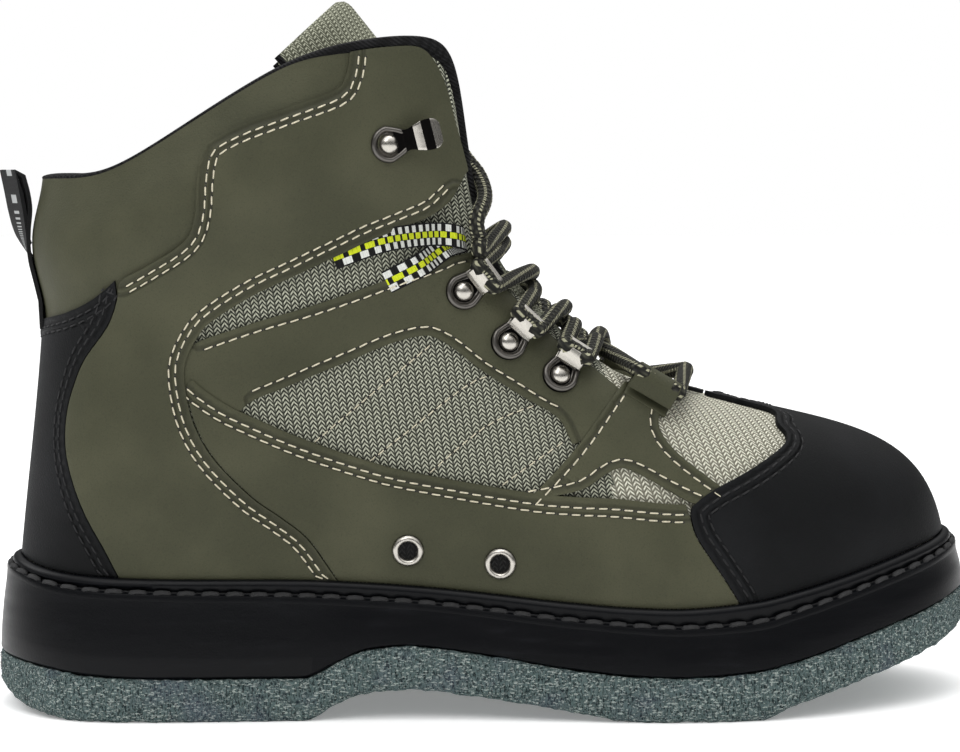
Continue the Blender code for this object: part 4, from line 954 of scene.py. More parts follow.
def lace_finish():
    """Round black-olive braid with rows of short pale tracers along it."""
    shader = Shader("lace_braid", Roughness=0.75, Specular_IOR_Level=0.25)
    _, (run, turn, _) = shader.axes("UV")
    plait = 2 * math.pi
    one = ((run * 4.2 + turn * 6.0) * plait).sine() * 0.5 + 0.5
    two = ((run * 4.2 - turn * 6.0) * plait).sine() * 0.5 + 0.5
    lines = abs((turn * 5.0 + run * 0.22).part() - 0.5)
    dash = ((run * 8.4 + turn * 2.5) * plait).sine().soft(-0.35, 0.25)
    pale = (1 - lines.soft(0.10, 0.20)) * dash
    tone = shader.mix(one * two, user_colour("lace"), colour(66, 66, 56))
    tone = shader.mix(pale, tone, user_colour("tracer"))
    return shader.set(Base_Color=tone, Normal=shader.bump(one + two + pale * 0.5, 0.0004))


FINISHES = {
    "olive": lambda: leather(
        "leather_olive", user_colour("olive"), user_colour("olive_light"), 0.60, 0.20
    ),
    "black": lambda: leather("leather_black", user_colour("black"), colour(27, 28, 30), 0.62, 0.13),
    "mesh": lambda: knit(
        "mesh_side", user_colour("mesh"), colour(46, 48, 41), 0.0025, 0.0014, 0.15
    ),
    "vamp": lambda: knit(
        "mesh_vamp", user_colour("vamp"), colour(124, 122, 106), 0.0027, 0.0016, 0.25, 0.0009
    ),
    "tongue": lambda: knit(
        "mesh_tongue", user_colour("tongue"), colour(88, 90, 74), 0.0026, 0.0015, 0.4
    ),
    "lining": lambda: knit("lining", colour(34, 34, 33), colour(10, 10, 10), 0.0026, 0.0015),
    "felt": felt_finish,
    "rubber": rubber_finish,
    "cream": lambda: thread_and_shade_finish("thread_cream", user_colour("thread")),
    "dark": lambda: thread_and_shade_finish("thread_black", colour(20, 20, 22)),
    # Painted shade: near-black for the flat discs at the ends of the cream stitches
    "hole_shade": lambda: thread_and_shade_finish("needle_hole_shade", colour(14, 14, 11)),
    "webbing": woven_finish,
    "striped": striped_finish,
    "pull": pull_finish,
    "nickel": lambda: metal_and_shade_finish("nickel", user_colour("nickel"), 0.20),
    "gunmetal": lambda: metal_and_shade_finish("gunmetal", colour(104, 101, 97), 0.26),
    # Painted shade: near-black for the tunnel's well floor, the hook's neck and slot, and the drain
    # ring's outer edge
    "well": lambda: metal_and_shade_finish("well_shadow", colour(20, 19, 19), 0.5),
    "lace": lace_finish,
}


class Surfaces(dict):
    """The boot's surfaces, each made when a piece first asks for it."""

    def __missing__(self, name):
        self[name] = FINISHES[name]()
        return self[name]


SURFACES = Surfaces()


def settle(piece, surface, nodes):
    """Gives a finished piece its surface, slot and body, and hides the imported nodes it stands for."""
    if surface is not None:
        piece.data.materials.clear()
        piece.data.materials.append(surface)
    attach(piece, "root")
    if nodes:
        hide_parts(*nodes)
    return piece


def pick(piece):
    """Selects a piece alone and makes it the active one."""
    bpy.ops.object.select_all(action="DESELECT")
    piece.select_set(True)
    bpy.context.view_layer.objects.active = piece


def read_points(piece):
    """The points of a piece's mesh, one row for each."""
    co = np.empty(len(piece.data.vertices) * 3, np.float32)
    piece.data.vertices.foreach_get("co", co)
    return co.reshape(-1, 3)


def write_points(piece, points):
    """Moves the points of a piece's mesh."""
    piece.data.vertices.foreach_set("co", points.astype(np.float32).ravel())
    piece.data.update()


def new_piece(name, points, faces):
    """A piece from points of the boot's own frame and faces between them."""
    mesh = bpy.data.meshes.new(name)
    mesh.from_pydata(world(points).tolist(), [], faces)
    piece = bpy.data.objects.new(name, mesh)
    bpy.context.scene.collection.objects.link(piece)
    return piece


def grid(name, columns, rows, place):
    """A grid primitive whose points are laid on a surface: place takes shares s and t."""
    bpy.ops.object.select_all(action="DESELECT")
    bpy.ops.mesh.primitive_grid_add(x_subdivisions=columns, y_subdivisions=rows, size=1.0)
    piece = bpy.context.object
    piece.name = name
    s, t = read_points(piece)[:, :2].T + 0.5
    write_points(piece, world(place(np.round(s, 6), np.round(t, 6))))
    return piece


def tidy(piece, merge=True, angle=40):
    """Merges doubled points, turns faces outwards and shades the piece smooth."""
    pick(piece)
    bpy.ops.object.mode_set(mode="EDIT")
    bpy.ops.mesh.select_all(action="SELECT")
    if merge:
        bpy.ops.mesh.remove_doubles(threshold=MERGE)
        bpy.ops.mesh.dissolve_degenerate(threshold=SLIVER)
        bpy.ops.mesh.select_all(action="SELECT")
    bpy.ops.mesh.normals_make_consistent(inside=False)
    bpy.ops.object.mode_set(mode="OBJECT")
    bpy.ops.object.shade_smooth_by_angle(angle=math.radians(angle))
    return piece


def modify(piece, name, kind, **settings):
    """Adds a modifier with its settings and applies it."""
    pick(piece)
    made = piece.modifiers.new(name, kind)
    for key, value in settings.items():
        setattr(made, key, value)
    bpy.ops.object.modifier_apply(modifier=name)
    return piece


def thicken(piece, thickness, offset, round_off, segments, corner):
    """Gives a sheet its thickness, and rounds off edges sharper than the corner in degrees."""
    modify(piece, "Thickness", "SOLIDIFY", thickness=thickness, offset=offset)
    limits = {"limit_method": "ANGLE", "angle_limit": math.radians(corner)}
    modify(piece, "Edges", "BEVEL", width=round_off, segments=segments, **limits)


def panel(name, edges, out, thickness, surface, nodes):
    """A leather panel with bottom, right, top and left edges, laid on the upper at out."""
    points = []
    for edge, backwards in zip(edges, (False, False, True, True)):
        run = even(edge, FINE / 2)
        points += list((run[::-1] if backwards else run)[:-1])
    points = np.array(points)
    ahead = np.roll(points, -1, axis=0)
    if np.sum(points[:, 0] * ahead[:, 1] - ahead[:, 0] * points[:, 1]) < 0:
        points = points[::-1]
    # About the real lengths of one unit of u and of v, so that the flat cells are nearly square
    scale = np.array([1.27 * SOLE_LENGTH, SHAFT_HEIGHT * 0.75])
    flat = points * scale
    bpy.ops.object.select_all(action="DESELECT")
    bpy.ops.mesh.primitive_circle_add(vertices=len(flat), radius=1.0, fill_type="NGON")
    piece = bpy.context.object
    piece.name = name
    write_points(piece, np.column_stack([flat, np.zeros(len(flat))]))
    bpy.ops.object.mode_set(mode="EDIT")
    for axis in (0, 1):
        low = flat[:, axis].min()
        high = flat[:, axis].max()
        way = (1.0, 0.0, 0.0) if axis == 0 else (0.0, 1.0, 0.0)
        for k in range(math.ceil(low / FINE), math.floor(high / FINE) + 1):
            bpy.ops.mesh.select_all(action="SELECT")
            spot = tuple(k * FINE * w for w in way)
            bpy.ops.mesh.bisect(plane_co=spot, plane_no=way)
    bpy.ops.mesh.select_all(action="SELECT")
    bpy.ops.mesh.remove_doubles(threshold=FINE / 40)
    bpy.ops.object.mode_set(mode="OBJECT")
    u, v = (read_points(piece)[:, :2] / scale).T
    write_points(piece, world(upper_point(u, v, out)))
    thicken(piece, thickness, 1.0, PANEL_ROUND, 2, 50)
    bpy.ops.object.shade_smooth_by_angle(angle=math.radians(35))
    return settle(piece, surface, nodes)


def mark_rows(piece, edges, offsets):
    """Keeps on each point how many millimetres it is from the sewn rows along the edges."""
    line = np.vstack([world(upper_point(*even(edge, 0.001).T)) for edge in edges])
    away = np.array([np.min(np.linalg.norm(line - p, axis=1)) for p in read_points(piece)])
    for k, offset in enumerate(offsets, 1):
        layer = piece.data.attributes.new(f"sewn_{k}", "FLOAT", "POINT")
        layer.data.foreach_set("value", ((away - offset) * 1000 + SEWN_FAR).astype(np.float32))


def panel_edges():
    """Edges of every panel on the outer side: bottom, right, top and left."""
    front = [foot(COUNTER_FOOT)] + on_side(COUNTER_FRONT + [COUNTER_TIP])
    low = [foot(COUNTER_FOOT), foot(COUNTER_FOOT / 2), np.array([0.0, FOOT_MARGIN])]
    high = [front[-1]] + on_side(COUNTER_TOP)
    high.append(np.array([0.0, high[-1][1]]))
    bottom = low + across_heel(low[-2::-1])
    top = high + across_heel(high[-2::-1])
    made = {"heel_counter": [bottom, across_heel(front), top, front]}

    behind = [foot(COUNTER_FOOT + PANEL_GAP)]
    behind += [SIDE((x + PANEL_GAP, z)) for x, z in COUNTER_FRONT]
    seam = on_side(COLLAR_SEAM)
    ankle_front = [foot(ANKLE_FOOT)] + on_side(ANKLE_FRONT + FLAP_EDGE)
    shaft = [seam[-1]] + on_side(SHAFT_FRONT)
    ankle_front.append(shaft[-1])
    low = [foot(COUNTER_FOOT + PANEL_GAP), foot(ANKLE_FOOT)]
    made["ankle_panel"] = [low, ankle_front, shaft, behind + seam]

    top = on_side(STAY_TOP)
    bottom = on_side(STAY_BOTTOM)
    front = [bottom[-1]] + on_side(STAY_FRONT) + [top[-1]]
    made["lace_stay"] = [bottom, front, top, [bottom[0], top[0]]]

    top = on_side(MUDGUARD_TOP)
    left = [foot(ANKLE_FOOT + PANEL_GAP)] + [SIDE((x + PANEL_GAP, z)) for x, z in ANKLE_FRONT]
    right = [foot(CAP_FOOT - PANEL_GAP)] + [SIDE((x - PANEL_GAP, z)) for x, z in CAP_BACK]
    low = [left[0], foot((ANKLE_FOOT + CAP_FOOT) / 2), right[0]]
    made["mudguard"] = [low, right + [top[-1]], top, left + [top[0]]]

    back = on_side(STRAP_BACK)
    front = on_side(STRAP_FRONT)
    low = [back[0]] + on_side(STRAP_FOOT) + [front[0]]
    made["vamp_strap"] = [low, front, [back[-1], front[-1]], back]

    back = [foot(CAP_FOOT)] + on_side(CAP_BACK)
    edge = on_side(CAP_TOP)
    back.append(edge[0])
    low = [back[0], foot((CAP_FOOT + 100) / 2), np.array([1.0, FOOT_MARGIN])]
    bottom = low + inner(low[-2::-1])
    top = edge + [crest(CAP_CREST)] + inner(edge[::-1])
    made["toe_cap"] = [bottom, inner(back), top, back]

    sides = (1 - VAMP_STRIP_HALF, 1 + VAMP_STRIP_HALF)
    start = crest(CAP_CREST - PANEL_GAP)[1]
    ends = [[np.array([u, v]) for u in sides] for v in (start, 0.985)]
    left = [ends[0][0], ends[1][0]]
    right = [ends[0][1], ends[1][1]]
    made["vamp_strip"] = [ends[0], right, ends[1], left]
    return made


EDGES = panel_edges()
PAIRED = ("ankle_panel", "lace_stay", "mudguard", "vamp_strap")
# Each panel's gap to the upper and its thickness
LAYERS = {
    "lace_stay": (0.0002, 0.0011),
    "vamp_strap": (0.0002, 0.0014),
    "mudguard": (0.0002, 0.0015),
    "ankle_panel": (0.0002, 0.0018),
    "heel_counter": (0.0002, 0.0015),
    "toe_cap": (0.0002, 0.0016),
    "vamp_strip": (0.0007, 0.0012),
}


# How far each panel's rows of stitches lie from its edge
SEAM_ROWS = {
    "ankle_panel": (0.0027, 0.0047),
    "lace_stay": (0.0028,),
    "mudguard": (0.0032, 0.0054),
    "vamp_strap": (0.0027,),
    "toe_cap": (0.0030, 0.0054),
    "heel_counter": (0.0028, 0.0050),
}


def top_of(name):
    """How far a panel's face lies above the upper."""
    out, thickness = LAYERS[name]
    return out + thickness


def make_panels():
    """Overlays of leather, and the collar's own leather under the ankle panels."""
    flap = [foot(ANKLE_FOOT)] + on_side(ANKLE_FRONT + FLAP_EDGE)
    cap = [foot(CAP_FOOT)] + on_side(CAP_BACK + CAP_TOP) + [crest(CAP_CREST)]
    counter = [foot(COUNTER_FOOT)] + on_side(COUNTER_FRONT + [COUNTER_TIP] + COUNTER_TOP)
    strap_rows = (STRAP_BACK, STRAP_FRONT, [STRAP_BACK[0]] + STRAP_FOOT)
    sewn = {
        "ankle_panel": [on_side(COLLAR_SEAM), flap],
        "lace_stay": [on_side(STAY_TOP[1:8]), on_side(STAY_BOTTOM[3:])],
        "mudguard": [on_side(MUDGUARD_TOP)],
        "vamp_strap": [on_side(row) for row in strap_rows],
        "toe_cap": [cap, inner(cap)],
        "heel_counter": [counter, across_heel(counter)],
    }
    for name, (out, thickness) in LAYERS.items():
        black = name in ("heel_counter", "toe_cap", "vamp_strip")
        surface = SURFACES["black" if black else "olive"]
        for side_name in ("outer", "inner") if name in PAIRED else ("",):
            full = f"{name}_{side_name}" if side_name else name
            mirrored = side_name == "inner"
            edges = [inner(e) for e in EDGES[name]] if mirrored else EDGES[name]
            piece = panel(f"{full}_leather", edges, out, thickness, surface, [full])
            if name in sewn:
                lines = [inner(e) for e in sewn[name]] if mirrored else sewn[name]
                mark_rows(piece, lines, SEAM_ROWS[name])
    make_collar()


def make_collar():
    """The collar's leather, which runs in under the ankle panels and the heel counter."""
    top_edge = 0.997
    base = [SIDE((x, z - 1.5)) for x, z in COUNTER_TOP[::-1]]
    low = [np.array([0.0, base[0][1]])] + base
    bottom = across_heel(low[:0:-1]) + low
    right = [base[-1]] + [SIDE((x + 1.5, z - 0.6)) for x, z in COLLAR_SEAM]
    right.append(np.array([SIDE(COLLAR_SEAM[-1])[0] + 0.01, top_edge]))
    run = np.linspace(-right[-1][0], right[-1][0], 41)
    top = [np.array([u, top_edge]) for u in run]
    edges = [bottom, right, top, across_heel(right)]
    panel("collar_leather", edges, 0.0001, 0.0006, SURFACES["olive"], [])


def slab(name, columns, low, high, sides, surface, node):
    """A slab across the sole between two heights, rounded as its side profile says."""
    profile = [(0.0, 0.0), (0.3, 0.0), (0.6, 0.0), (0.85, 0.0)]
    rows = len(sides) + 2 * len(profile)

    def place(s, t):
        u = s * 2
        index = np.round(t * (rows - 1)).astype(int)
        points = np.empty((len(s), 3))
        for k in range(rows):
            mask = index == k
            if k < len(profile):
                keep, part, inset = profile[k][0], 0.0, sides[0][1]
            elif k >= rows - len(profile):
                keep, part, inset = profile[rows - 1 - k][0], 1.0, sides[-1][1]
            else:
                keep, (part, inset) = 1.0, sides[k - len(profile)]
            xy = outline(u[mask], inset)
            mean = (xy[:, 0] + outline(2 - u[mask], inset)[:, 0]) / 2
            x = xy[:, 0] * keep + mean * (1 - keep)
            z = low(x) * (1 - part) + high(x) * part
            points[mask] = np.column_stack([x, xy[:, 1] * keep, z])
        return points

    piece = grid(name, columns, rows - 1, place)
    tidy(piece)
    return settle(piece, surface, [node])


def roughen(piece, amount, scale):
    """Pushes a piece's points about by smooth noise, the same on every run."""
    noise.seed_set(SEED)
    for point in piece.data.vertices:
        point.co += noise.noise_vector(point.co * scale) * amount
    piece.data.update()


def make_fibres():
    """Short loose fibres standing out of the felt's side."""
    random = np.random.default_rng(SEED)
    thick = 0.00007
    root = 0.0001
    u = random.uniform(0, 2, FIBRES)
    part = random.uniform(0.0, 1.0, FIBRES) ** 0.8
    xy = outline(u, -root)
    foot_z = level("tread", xy[:, 0])
    z = foot_z + (level("felt_top", xy[:, 0]) - foot_z) * part
    away = xy - outline(u, 0.001)
    away /= np.linalg.norm(away, axis=1, keepdims=True)
    along = np.column_stack([-away[:, 1], away[:, 0]])
    points = []
    faces = []
    length = user_size("fibre")
    for k in range(FIBRES):
        start = np.array([*xy[k], max(z[k], 0.0004)])
        out = np.array([*away[k], 0.0])
        side = np.array([*along[k], 0.0])
        tilt = random.uniform(-1, 1, 2)
        way = out * 0.45 + side * tilt[0] * 0.8 + np.array([0, 0, 1]) * tilt[1] * 0.8
        reach = length * random.uniform(0.4, 1.0)
        cross = np.cross(way, out)
        cross *= thick / (np.linalg.norm(cross) + 1e-9)
        tip = start + way * reach
        tip[2] = max(tip[2], root)
        base = len(points)
        points += [start + cross, start - cross, start + out * root, tip]
        faces += [(base + k, base + (k + 1) % 3, base + 3) for k in range(3)]
    return settle(new_piece("felt_fibres", points, faces), SURFACES["felt"], [])


def make_sole():
    """Felt outsole, rubber midsole and insole."""
    felt_sides = [(0.0, 0.0016), (0.06, 0.0006), (0.14, 0.0), (0.3, 0.0), (0.45, 0.0)]
    felt_sides += [(0.6, 0.0), (0.75, 0.0), (0.9, 0.0), (1.0, 0.0008)]
    piece = slab(
        "felt_outsole",
        560,
        lambda x: level("tread", x),
        lambda x: level("felt_top", x),
        felt_sides,
        SURFACES["felt"],
        "outsole_felt",
    )
    roughen(piece, 0.0005, 420.0)
    make_fibres()
    slab(
        "rubber_midsole",
        420,
        lambda x: level("felt_top", x) + SEAT_GAP,
        lambda x: level("welt_seat", x),
        [
            (0.0, 0.0012),
            (0.02, 0.0005),
            (0.05, 0.0),
            (0.3, 0.0003),
            (0.6, 0.0010),
            (0.9, MIDSOLE_TAPER),
            (1.0, MIDSOLE_TAPER + 0.0002),
        ],
        SURFACES["rubber"],
        "midsole",
    )
    inset = WELT_LEDGE + UPPER_WALL + 0.0016
    slab(
        "insole_pad",
        160,
        lambda x: level("welt_seat", x) + SEAT_GAP,
        lambda x: level("welt_seat", x) + SEAT_GAP + INSOLE_THICKNESS,
        [(0.0, inset), (0.7, inset), (1.0, inset + 0.0008)],
        SURFACES["lining"],
        "insole",
    )


def make_welt():
    """Welt strip with its stitch groove and the rolled bead against the upper."""
    inner_edge = WELT_LEDGE - SEAT_GAP
    radius = WELT_BEAD / 2
    strip = WELT_STRIP * 1000
    edge = (MIDSOLE_TAPER + 0.0002) * 1000
    # Inset and rise in millimetres, and 1 for points that follow the bead
    section = [(edge, -0.3, 0), (edge, strip - 1.5, 0), (edge + 0.25, strip - 0.9, 0)]
    section += [(edge + 0.9, strip - 0.6, 0), (edge + 2.4, strip - 0.6, 0)]
    section.append((edge + 2.7, strip - 0.2, 0))
    for step in range(9):
        angle = math.pi * (1 - step / 8)
        inset = (inner_edge - radius + radius * math.cos(angle)) * 1000
        section.append((inset, radius * math.sin(angle) * 1000, 1))
    section += [(inner_edge * 1000, 0.0, 0), (edge, -0.3, 0)]

    def place(s, t):
        u = s * 2
        index = np.round(t * (len(section) - 1)).astype(int)
        points = np.empty((len(s), 3))
        foot_xy = outline(u, WELT_LEDGE)
        crown = level("feather", foot_xy[:, 0]) - radius
        for k, (inset, rise, on_bead) in enumerate(section):
            mask = index == k
            xy = outline(u[mask], inset / 1000)
            seat = level("welt_seat", xy[:, 0]) + SEAT_GAP
            base = crown[mask] if on_bead else seat
            points[mask] = np.column_stack([xy, base + rise / 1000])
        return points

    piece = tidy(grid("welt_strip", 420, len(section) - 1, place))
    settle(piece, SURFACES["rubber"], ["welt"])


def rim_frame(u):
    """Points of the upper's rim, with the ways up and out from it."""
    ones = np.ones(len(u))
    rim = upper_point(u, ones)
    up = rim - upper_point(u, ones * UNDER_RIM)
    up /= np.linalg.norm(up, axis=1, keepdims=True)
    return rim, up, upper_normal(u, ones)


def make_upper():
    """The hollow upper of knit, with its dark lining inside."""
    rows = 64
    turn = 0.46
    tuck = 0.06

    def place(s, t):
        u = s * 2
        out = t <= turn
        back = 1 - turn
        rise = np.where(out, t / turn, np.where(t >= back, (1 - t) / turn, 1.0))
        v = np.clip((rise - tuck) / (1 - tuck), 0, 1)
        thick = wall(u, v)
        points = np.empty((len(s), 3))
        points[out] = upper_point(u[out], v[out])
        inside = t >= back
        points[inside] = upper_point(u[inside], v[inside], -thick[inside])
        rim = ~out & ~inside
        if rim.any():
            angle = (t[rim] - turn) / (back - turn) * math.pi
            edge, up, normal = rim_frame(u[rim])
            half = thick[rim][:, None] / 2
            points[rim] = edge - normal * half * (1 - np.cos(angle))[:, None]
            points[rim] += up * 0.0006 * np.sin(angle)[:, None]
        base = level("welt_seat", points[:, 0]) + SEAT_GAP
        below = np.clip((tuck - rise) / tuck, 0, 1)
        points[:, 2] = points[:, 2] * (1 - below) + base * below
        return points

    piece = grid("upper_shell", 420, rows, place)
    tidy(piece)
    piece.data.materials.clear()
    for surface in ("mesh", "lining", "vamp"):
        piece.data.materials.append(SURFACES[surface])
    settle(piece, None, ["upper"])
    u = np.linspace(0, 2, 160, endpoint=False)
    middle = world(upper_point(u, np.full(160, 0.5)))
    heart = np.array([0.09, 0.0, 0.1])
    for face in piece.data.polygons:
        near = middle[np.argmin(np.linalg.norm(middle[:, :2] - np.array(face.center)[:2], axis=1))]
        inward = heart - near
        outside = 2 if face.center.x > VAMP_MESH_START else 0
        face.material_index = 1 if np.dot(np.array(face.normal)[:2], inward[:2]) > 0 else outside


def make_tongue():
    """Padded tongue with crowned channels and a dark edge roll."""
    thick = TONGUE_THICKNESS

    def place(s, t):
        across = s * 2 - 1
        index = t * 2
        front = index <= 1
        rise = np.where(front, index, 2 - index)
        drop = TONGUE_ARCH * across**2 * rise**6
        channel = np.cos(across * math.pi * 1.5) ** 2 * 0.0008
        pad = thick * (1 - 0.55 * across**4)
        depth = np.where(front, -channel * (1 - across**4), pad)
        edge = np.clip((1 - np.abs(across)) / 0.07, 0, 1)
        tip = np.clip((1 - rise) / 0.03, 0, 1)
        close = np.sqrt(np.clip(edge * (2 - edge), 0, 1)) * np.sqrt(np.clip(tip * (2 - tip), 0, 1))
        depth = pad / 2 + (depth - pad / 2) * close
        return tongue_point(rise - drop, across, depth)

    piece = grid("tongue_pad", 48, 240, place)
    tidy(piece, angle=60)
    settle(piece, SURFACES["tongue"], ["tongue"])
    lining = SURFACES["webbing"]
    for t in (-1, 1):
        spots = np.linspace(0.45, 1.0, 60)
        drop = TONGUE_ARCH * spots**6
        line = tongue_point(spots - drop, np.full(60, float(t)), thick * 0.25)
        name = "tongue_edge_outer" if t < 0 else "tongue_edge_inner"
        tube(name, line, 0.0010, 8, lining, [])


def tube(name, path, radius, sides, surface, nodes, ripple=None):
    """A round cord along a path, with UV running along it in centimetres and once round."""
    path = np.asarray(path, float)
    ahead = np.gradient(path, axis=0)
    ahead /= np.linalg.norm(ahead, axis=1, keepdims=True)
    side = np.cross(ahead[0], (0.0, 0.0, 1.0))
    if np.linalg.norm(side) < 0.1:
        side = np.cross(ahead[0], (1.0, 0.0, 0.0))
    sides_a = []
    for way in ahead:
        side = side - way * side.dot(way)
        side /= np.linalg.norm(side)
        sides_a.append(side)
    sides_a = np.array(sides_a)
    sides_b = np.cross(ahead, sides_a)
    run = run_of(path)
    turns = np.arange(sides) * 2 * math.pi / sides
    reach = np.full((len(path), sides), radius)
    if ripple:
        reach = reach * ripple(run[:, None], turns[None, :])
    rings = (
        path[:, None]
        + sides_a[:, None] * (np.cos(turns)[None, :] * reach)[..., None]
        + sides_b[:, None] * (np.sin(turns)[None, :] * reach)[..., None]
    )
    faces = []
    spots = []
    for i in range(len(path) - 1):
        for j in range(sides):
            k = (j + 1) % sides
            faces.append((i * sides + j, i * sides + k, (i + 1) * sides + k, (i + 1) * sides + j))
            low, high = run[i] * 100, run[i + 1] * 100
            spots += [(low, j / sides), (low, (j + 1) / sides)]
            spots += [(high, (j + 1) / sides), (high, j / sides)]
    last = (len(path) - 1) * sides
    faces.append(tuple(range(sides))[::-1])
    faces.append(tuple(last + j for j in range(sides)))
    spots += [(0.0, 0.0)] * (2 * sides)
    piece = new_piece(name, rings.reshape(-1, 3), faces)
    layer = piece.data.uv_layers.new(name="UVMap")
    layer.data.foreach_set("uv", np.array(spots, np.float32).ravel())
    tidy(piece, merge=False, angle=60)
    return settle(piece, surface, nodes)


def make_binding():
    """Rolled black binding over the topline and down the shaft's front edges."""
    ends = 0.60
    run = np.linspace(-ends, ends, 340)
    rim, up, normal = rim_frame(run)
    thick = wall(run, np.ones(len(run)))[:, None]
    front = smooth_step((np.abs(run) - 0.30) / 0.12)[:, None]
    cover = 0.0018 + 0.0036 * front

    def place(s, t):
        index = np.round(s * (len(run) - 1)).astype(int)
        angle = t * 2 * math.pi
        wide = thick[index, 0] / 2 + 0.0009 + 0.0013 * front[index, 0]
        sweep_out = np.cos(angle) * wide
        low = np.where(np.sin(angle) < 0, cover[index, 0], 0.0009)
        sweep_up = np.sin(angle) * low
        middle = rim[index] - normal[index] * thick[index] / 2
        return middle + normal[index] * sweep_out[:, None] + up[index] * sweep_up[:, None]

    piece = grid("collar_binding", len(run) - 1, 20, place)
    tidy(piece, angle=60)
    settle(piece, SURFACES["webbing"], ["topline_binding"])


def seat_frame(spot, toward, mirrored, out=SEAT_GAP + PANEL + SEAT_GAP):
    """Seat on a panel's face: a point with the ways along, across and out, on either side."""
    here = SIDE(spot)
    there = SIDE((spot[0] + toward[0], spot[1] + toward[1]))
    if mirrored:
        here, there = inner([here, there])
    start = upper_point(here[0], here[1], out)
    along = upper_point(there[0], there[1], out) - start
    normal = upper_normal(here[0], here[1])
    along = along - normal * along.dot(normal)
    along /= np.linalg.norm(along)
    across = np.cross(normal, along) * (-1 if mirrored else 1)
    return start, along, across, normal


def join(pieces, name):
    """Joins pieces into one, named anew."""
    bpy.ops.object.select_all(action="DESELECT")
    for piece in pieces:
        piece.select_set(True)
    bpy.context.view_layer.objects.active = pieces[0]
    bpy.ops.object.join()
    pieces[0].name = name
    return pieces[0]


def on_frame(frame_here, a, b, h):
    """Points from distances along, across and out of a seat's frame."""
    start, along, across, normal = frame_here
    a, b, h = (np.asarray(k, float)[..., None] for k in (a, b, h))
    return start + along * a + across * b + normal * h


def disc(name, frame_here, profile, reach=0.0, narrow=0.0, count=48):
    """A plate round a rivet: profile holds (radius, rise) in millimetres from its middle outwards.

    Its front half is drawn out by reach and narrowed by narrow, as shares of its radius.
    """

    def place(s, t):
        index = np.round(t * (len(profile) - 1)).astype(int)
        radius = np.array([p[0] for p in profile])[index] / 1000
        rise = np.array([p[1] for p in profile])[index] / 1000
        angle = s * 2 * math.pi
        ahead = np.clip(np.cos(angle), 0, 1) ** 0.6
        a = np.cos(angle) * radius + ahead * radius * reach
        return on_frame(frame_here, a, np.sin(angle) * radius * (1 - narrow * ahead), rise)

    return tidy(grid(name, count, len(profile) - 1, place), angle=50)


def curled(name, frame_here, rows, thickness, width=None):
    """A strip of sheet bent along its length, crisp at its edges."""
    path = smooth_path([(r.along / 1000, r.rise / 1000, r.half) for r in rows], 40)
    ahead = np.gradient(path[:, :2], axis=0)
    ahead /= np.linalg.norm(ahead, axis=1, keepdims=True)

    def place(s, t):
        index = np.round(t * (len(path) - 1)).astype(int)
        half = path[index, 2] * (width / 2 if width else 0.001)
        return on_frame(frame_here, path[index, 0], (s * 2 - 1) * half, path[index, 1])

    piece = grid(name, 10, len(path) - 1, place)
    thicken(piece, thickness, 0.0, thickness * 0.3, 2, 60)
    return tidy(piece, merge=False, angle=40)


# Turned profiles as (radius, rise) in millimetres, from the middle outwards
RIM_PLATE = [
    (0.0, 0.2),
    (3.5, 0.2),
    (3.9, 0.5),
    (4.2, 1.3),
    (4.6, 1.6),
    (5.2, 1.5),
    (5.7, 0.9),
    (5.8, -0.6),
]
GROMMET = [
    (0.0, 0.1),
    (2.8, 0.1),
    (3.0, 0.6),
    (3.3, 1.1),
    (3.8, 1.3),
    (4.3, 1.1),
    (4.9, 0.5),
    (5.1, -0.6),
]
RIVET_HEAD = [(0.0, 2.3), (0.9, 2.2), (1.8, 1.9), (2.6, 1.3), (3.0, 0.7), (3.1, 0.2)]
# The hook's neck, painted dark as shade, ends here, and a band of painted shade for its slot lies between
# these, metres from its rivet
HOOK_NECK = 0.0076
HOOK_SLOT = (0.0102, 0.0128)
# The drain's gauze reaches out to here, and its shadowed edge starts here
GAUZE_RADIUS = 0.0029
RING_EDGE = 0.0048


def coat(piece, *surfaces):
    """Gives a piece its surfaces, in order."""
    for surface in surfaces:
        piece.data.materials.append(SURFACES[surface])


def make_tunnel(number, side_name, mirrored):
    """Riveted lace tunnel: an oval plate whose sunken floor is painted dark as shade, a curled strip and
    a rivet.
    """
    spot, toward = LACE_TUNNELS[number - 1]
    seat = seat_frame(spot, toward, mirrored, top_of("lace_stay"))
    plate = disc("plate", seat, RIM_PLATE, 0.55, 0.22)
    strip = curled("strip", seat, TUNNEL_CURL, SHEET_METAL)
    head = disc("head", seat, RIVET_HEAD)
    coat(plate, "gunmetal", "well")
    centre = Vector(world(seat[0]))
    floor_rise = RIM_PLATE[0][1] / 1000
    # The plate's sunken floor gets the painted shade of the well
    for face in plate.data.polygons:
        rise = (face.center - centre).dot(Vector(seat[3]))
        face.material_index = 1 if abs(rise - floor_rise) < 0.00012 else 0
    coat(strip, "nickel")
    coat(head, "nickel")
    piece = join([plate, strip, head], f"tunnel_{number}_{side_name}")
    nodes = [f"lace_tunnel_{number}_{side_name}", f"tunnel_rivet_{number}_{side_name}"]
    settle(piece, None, nodes)


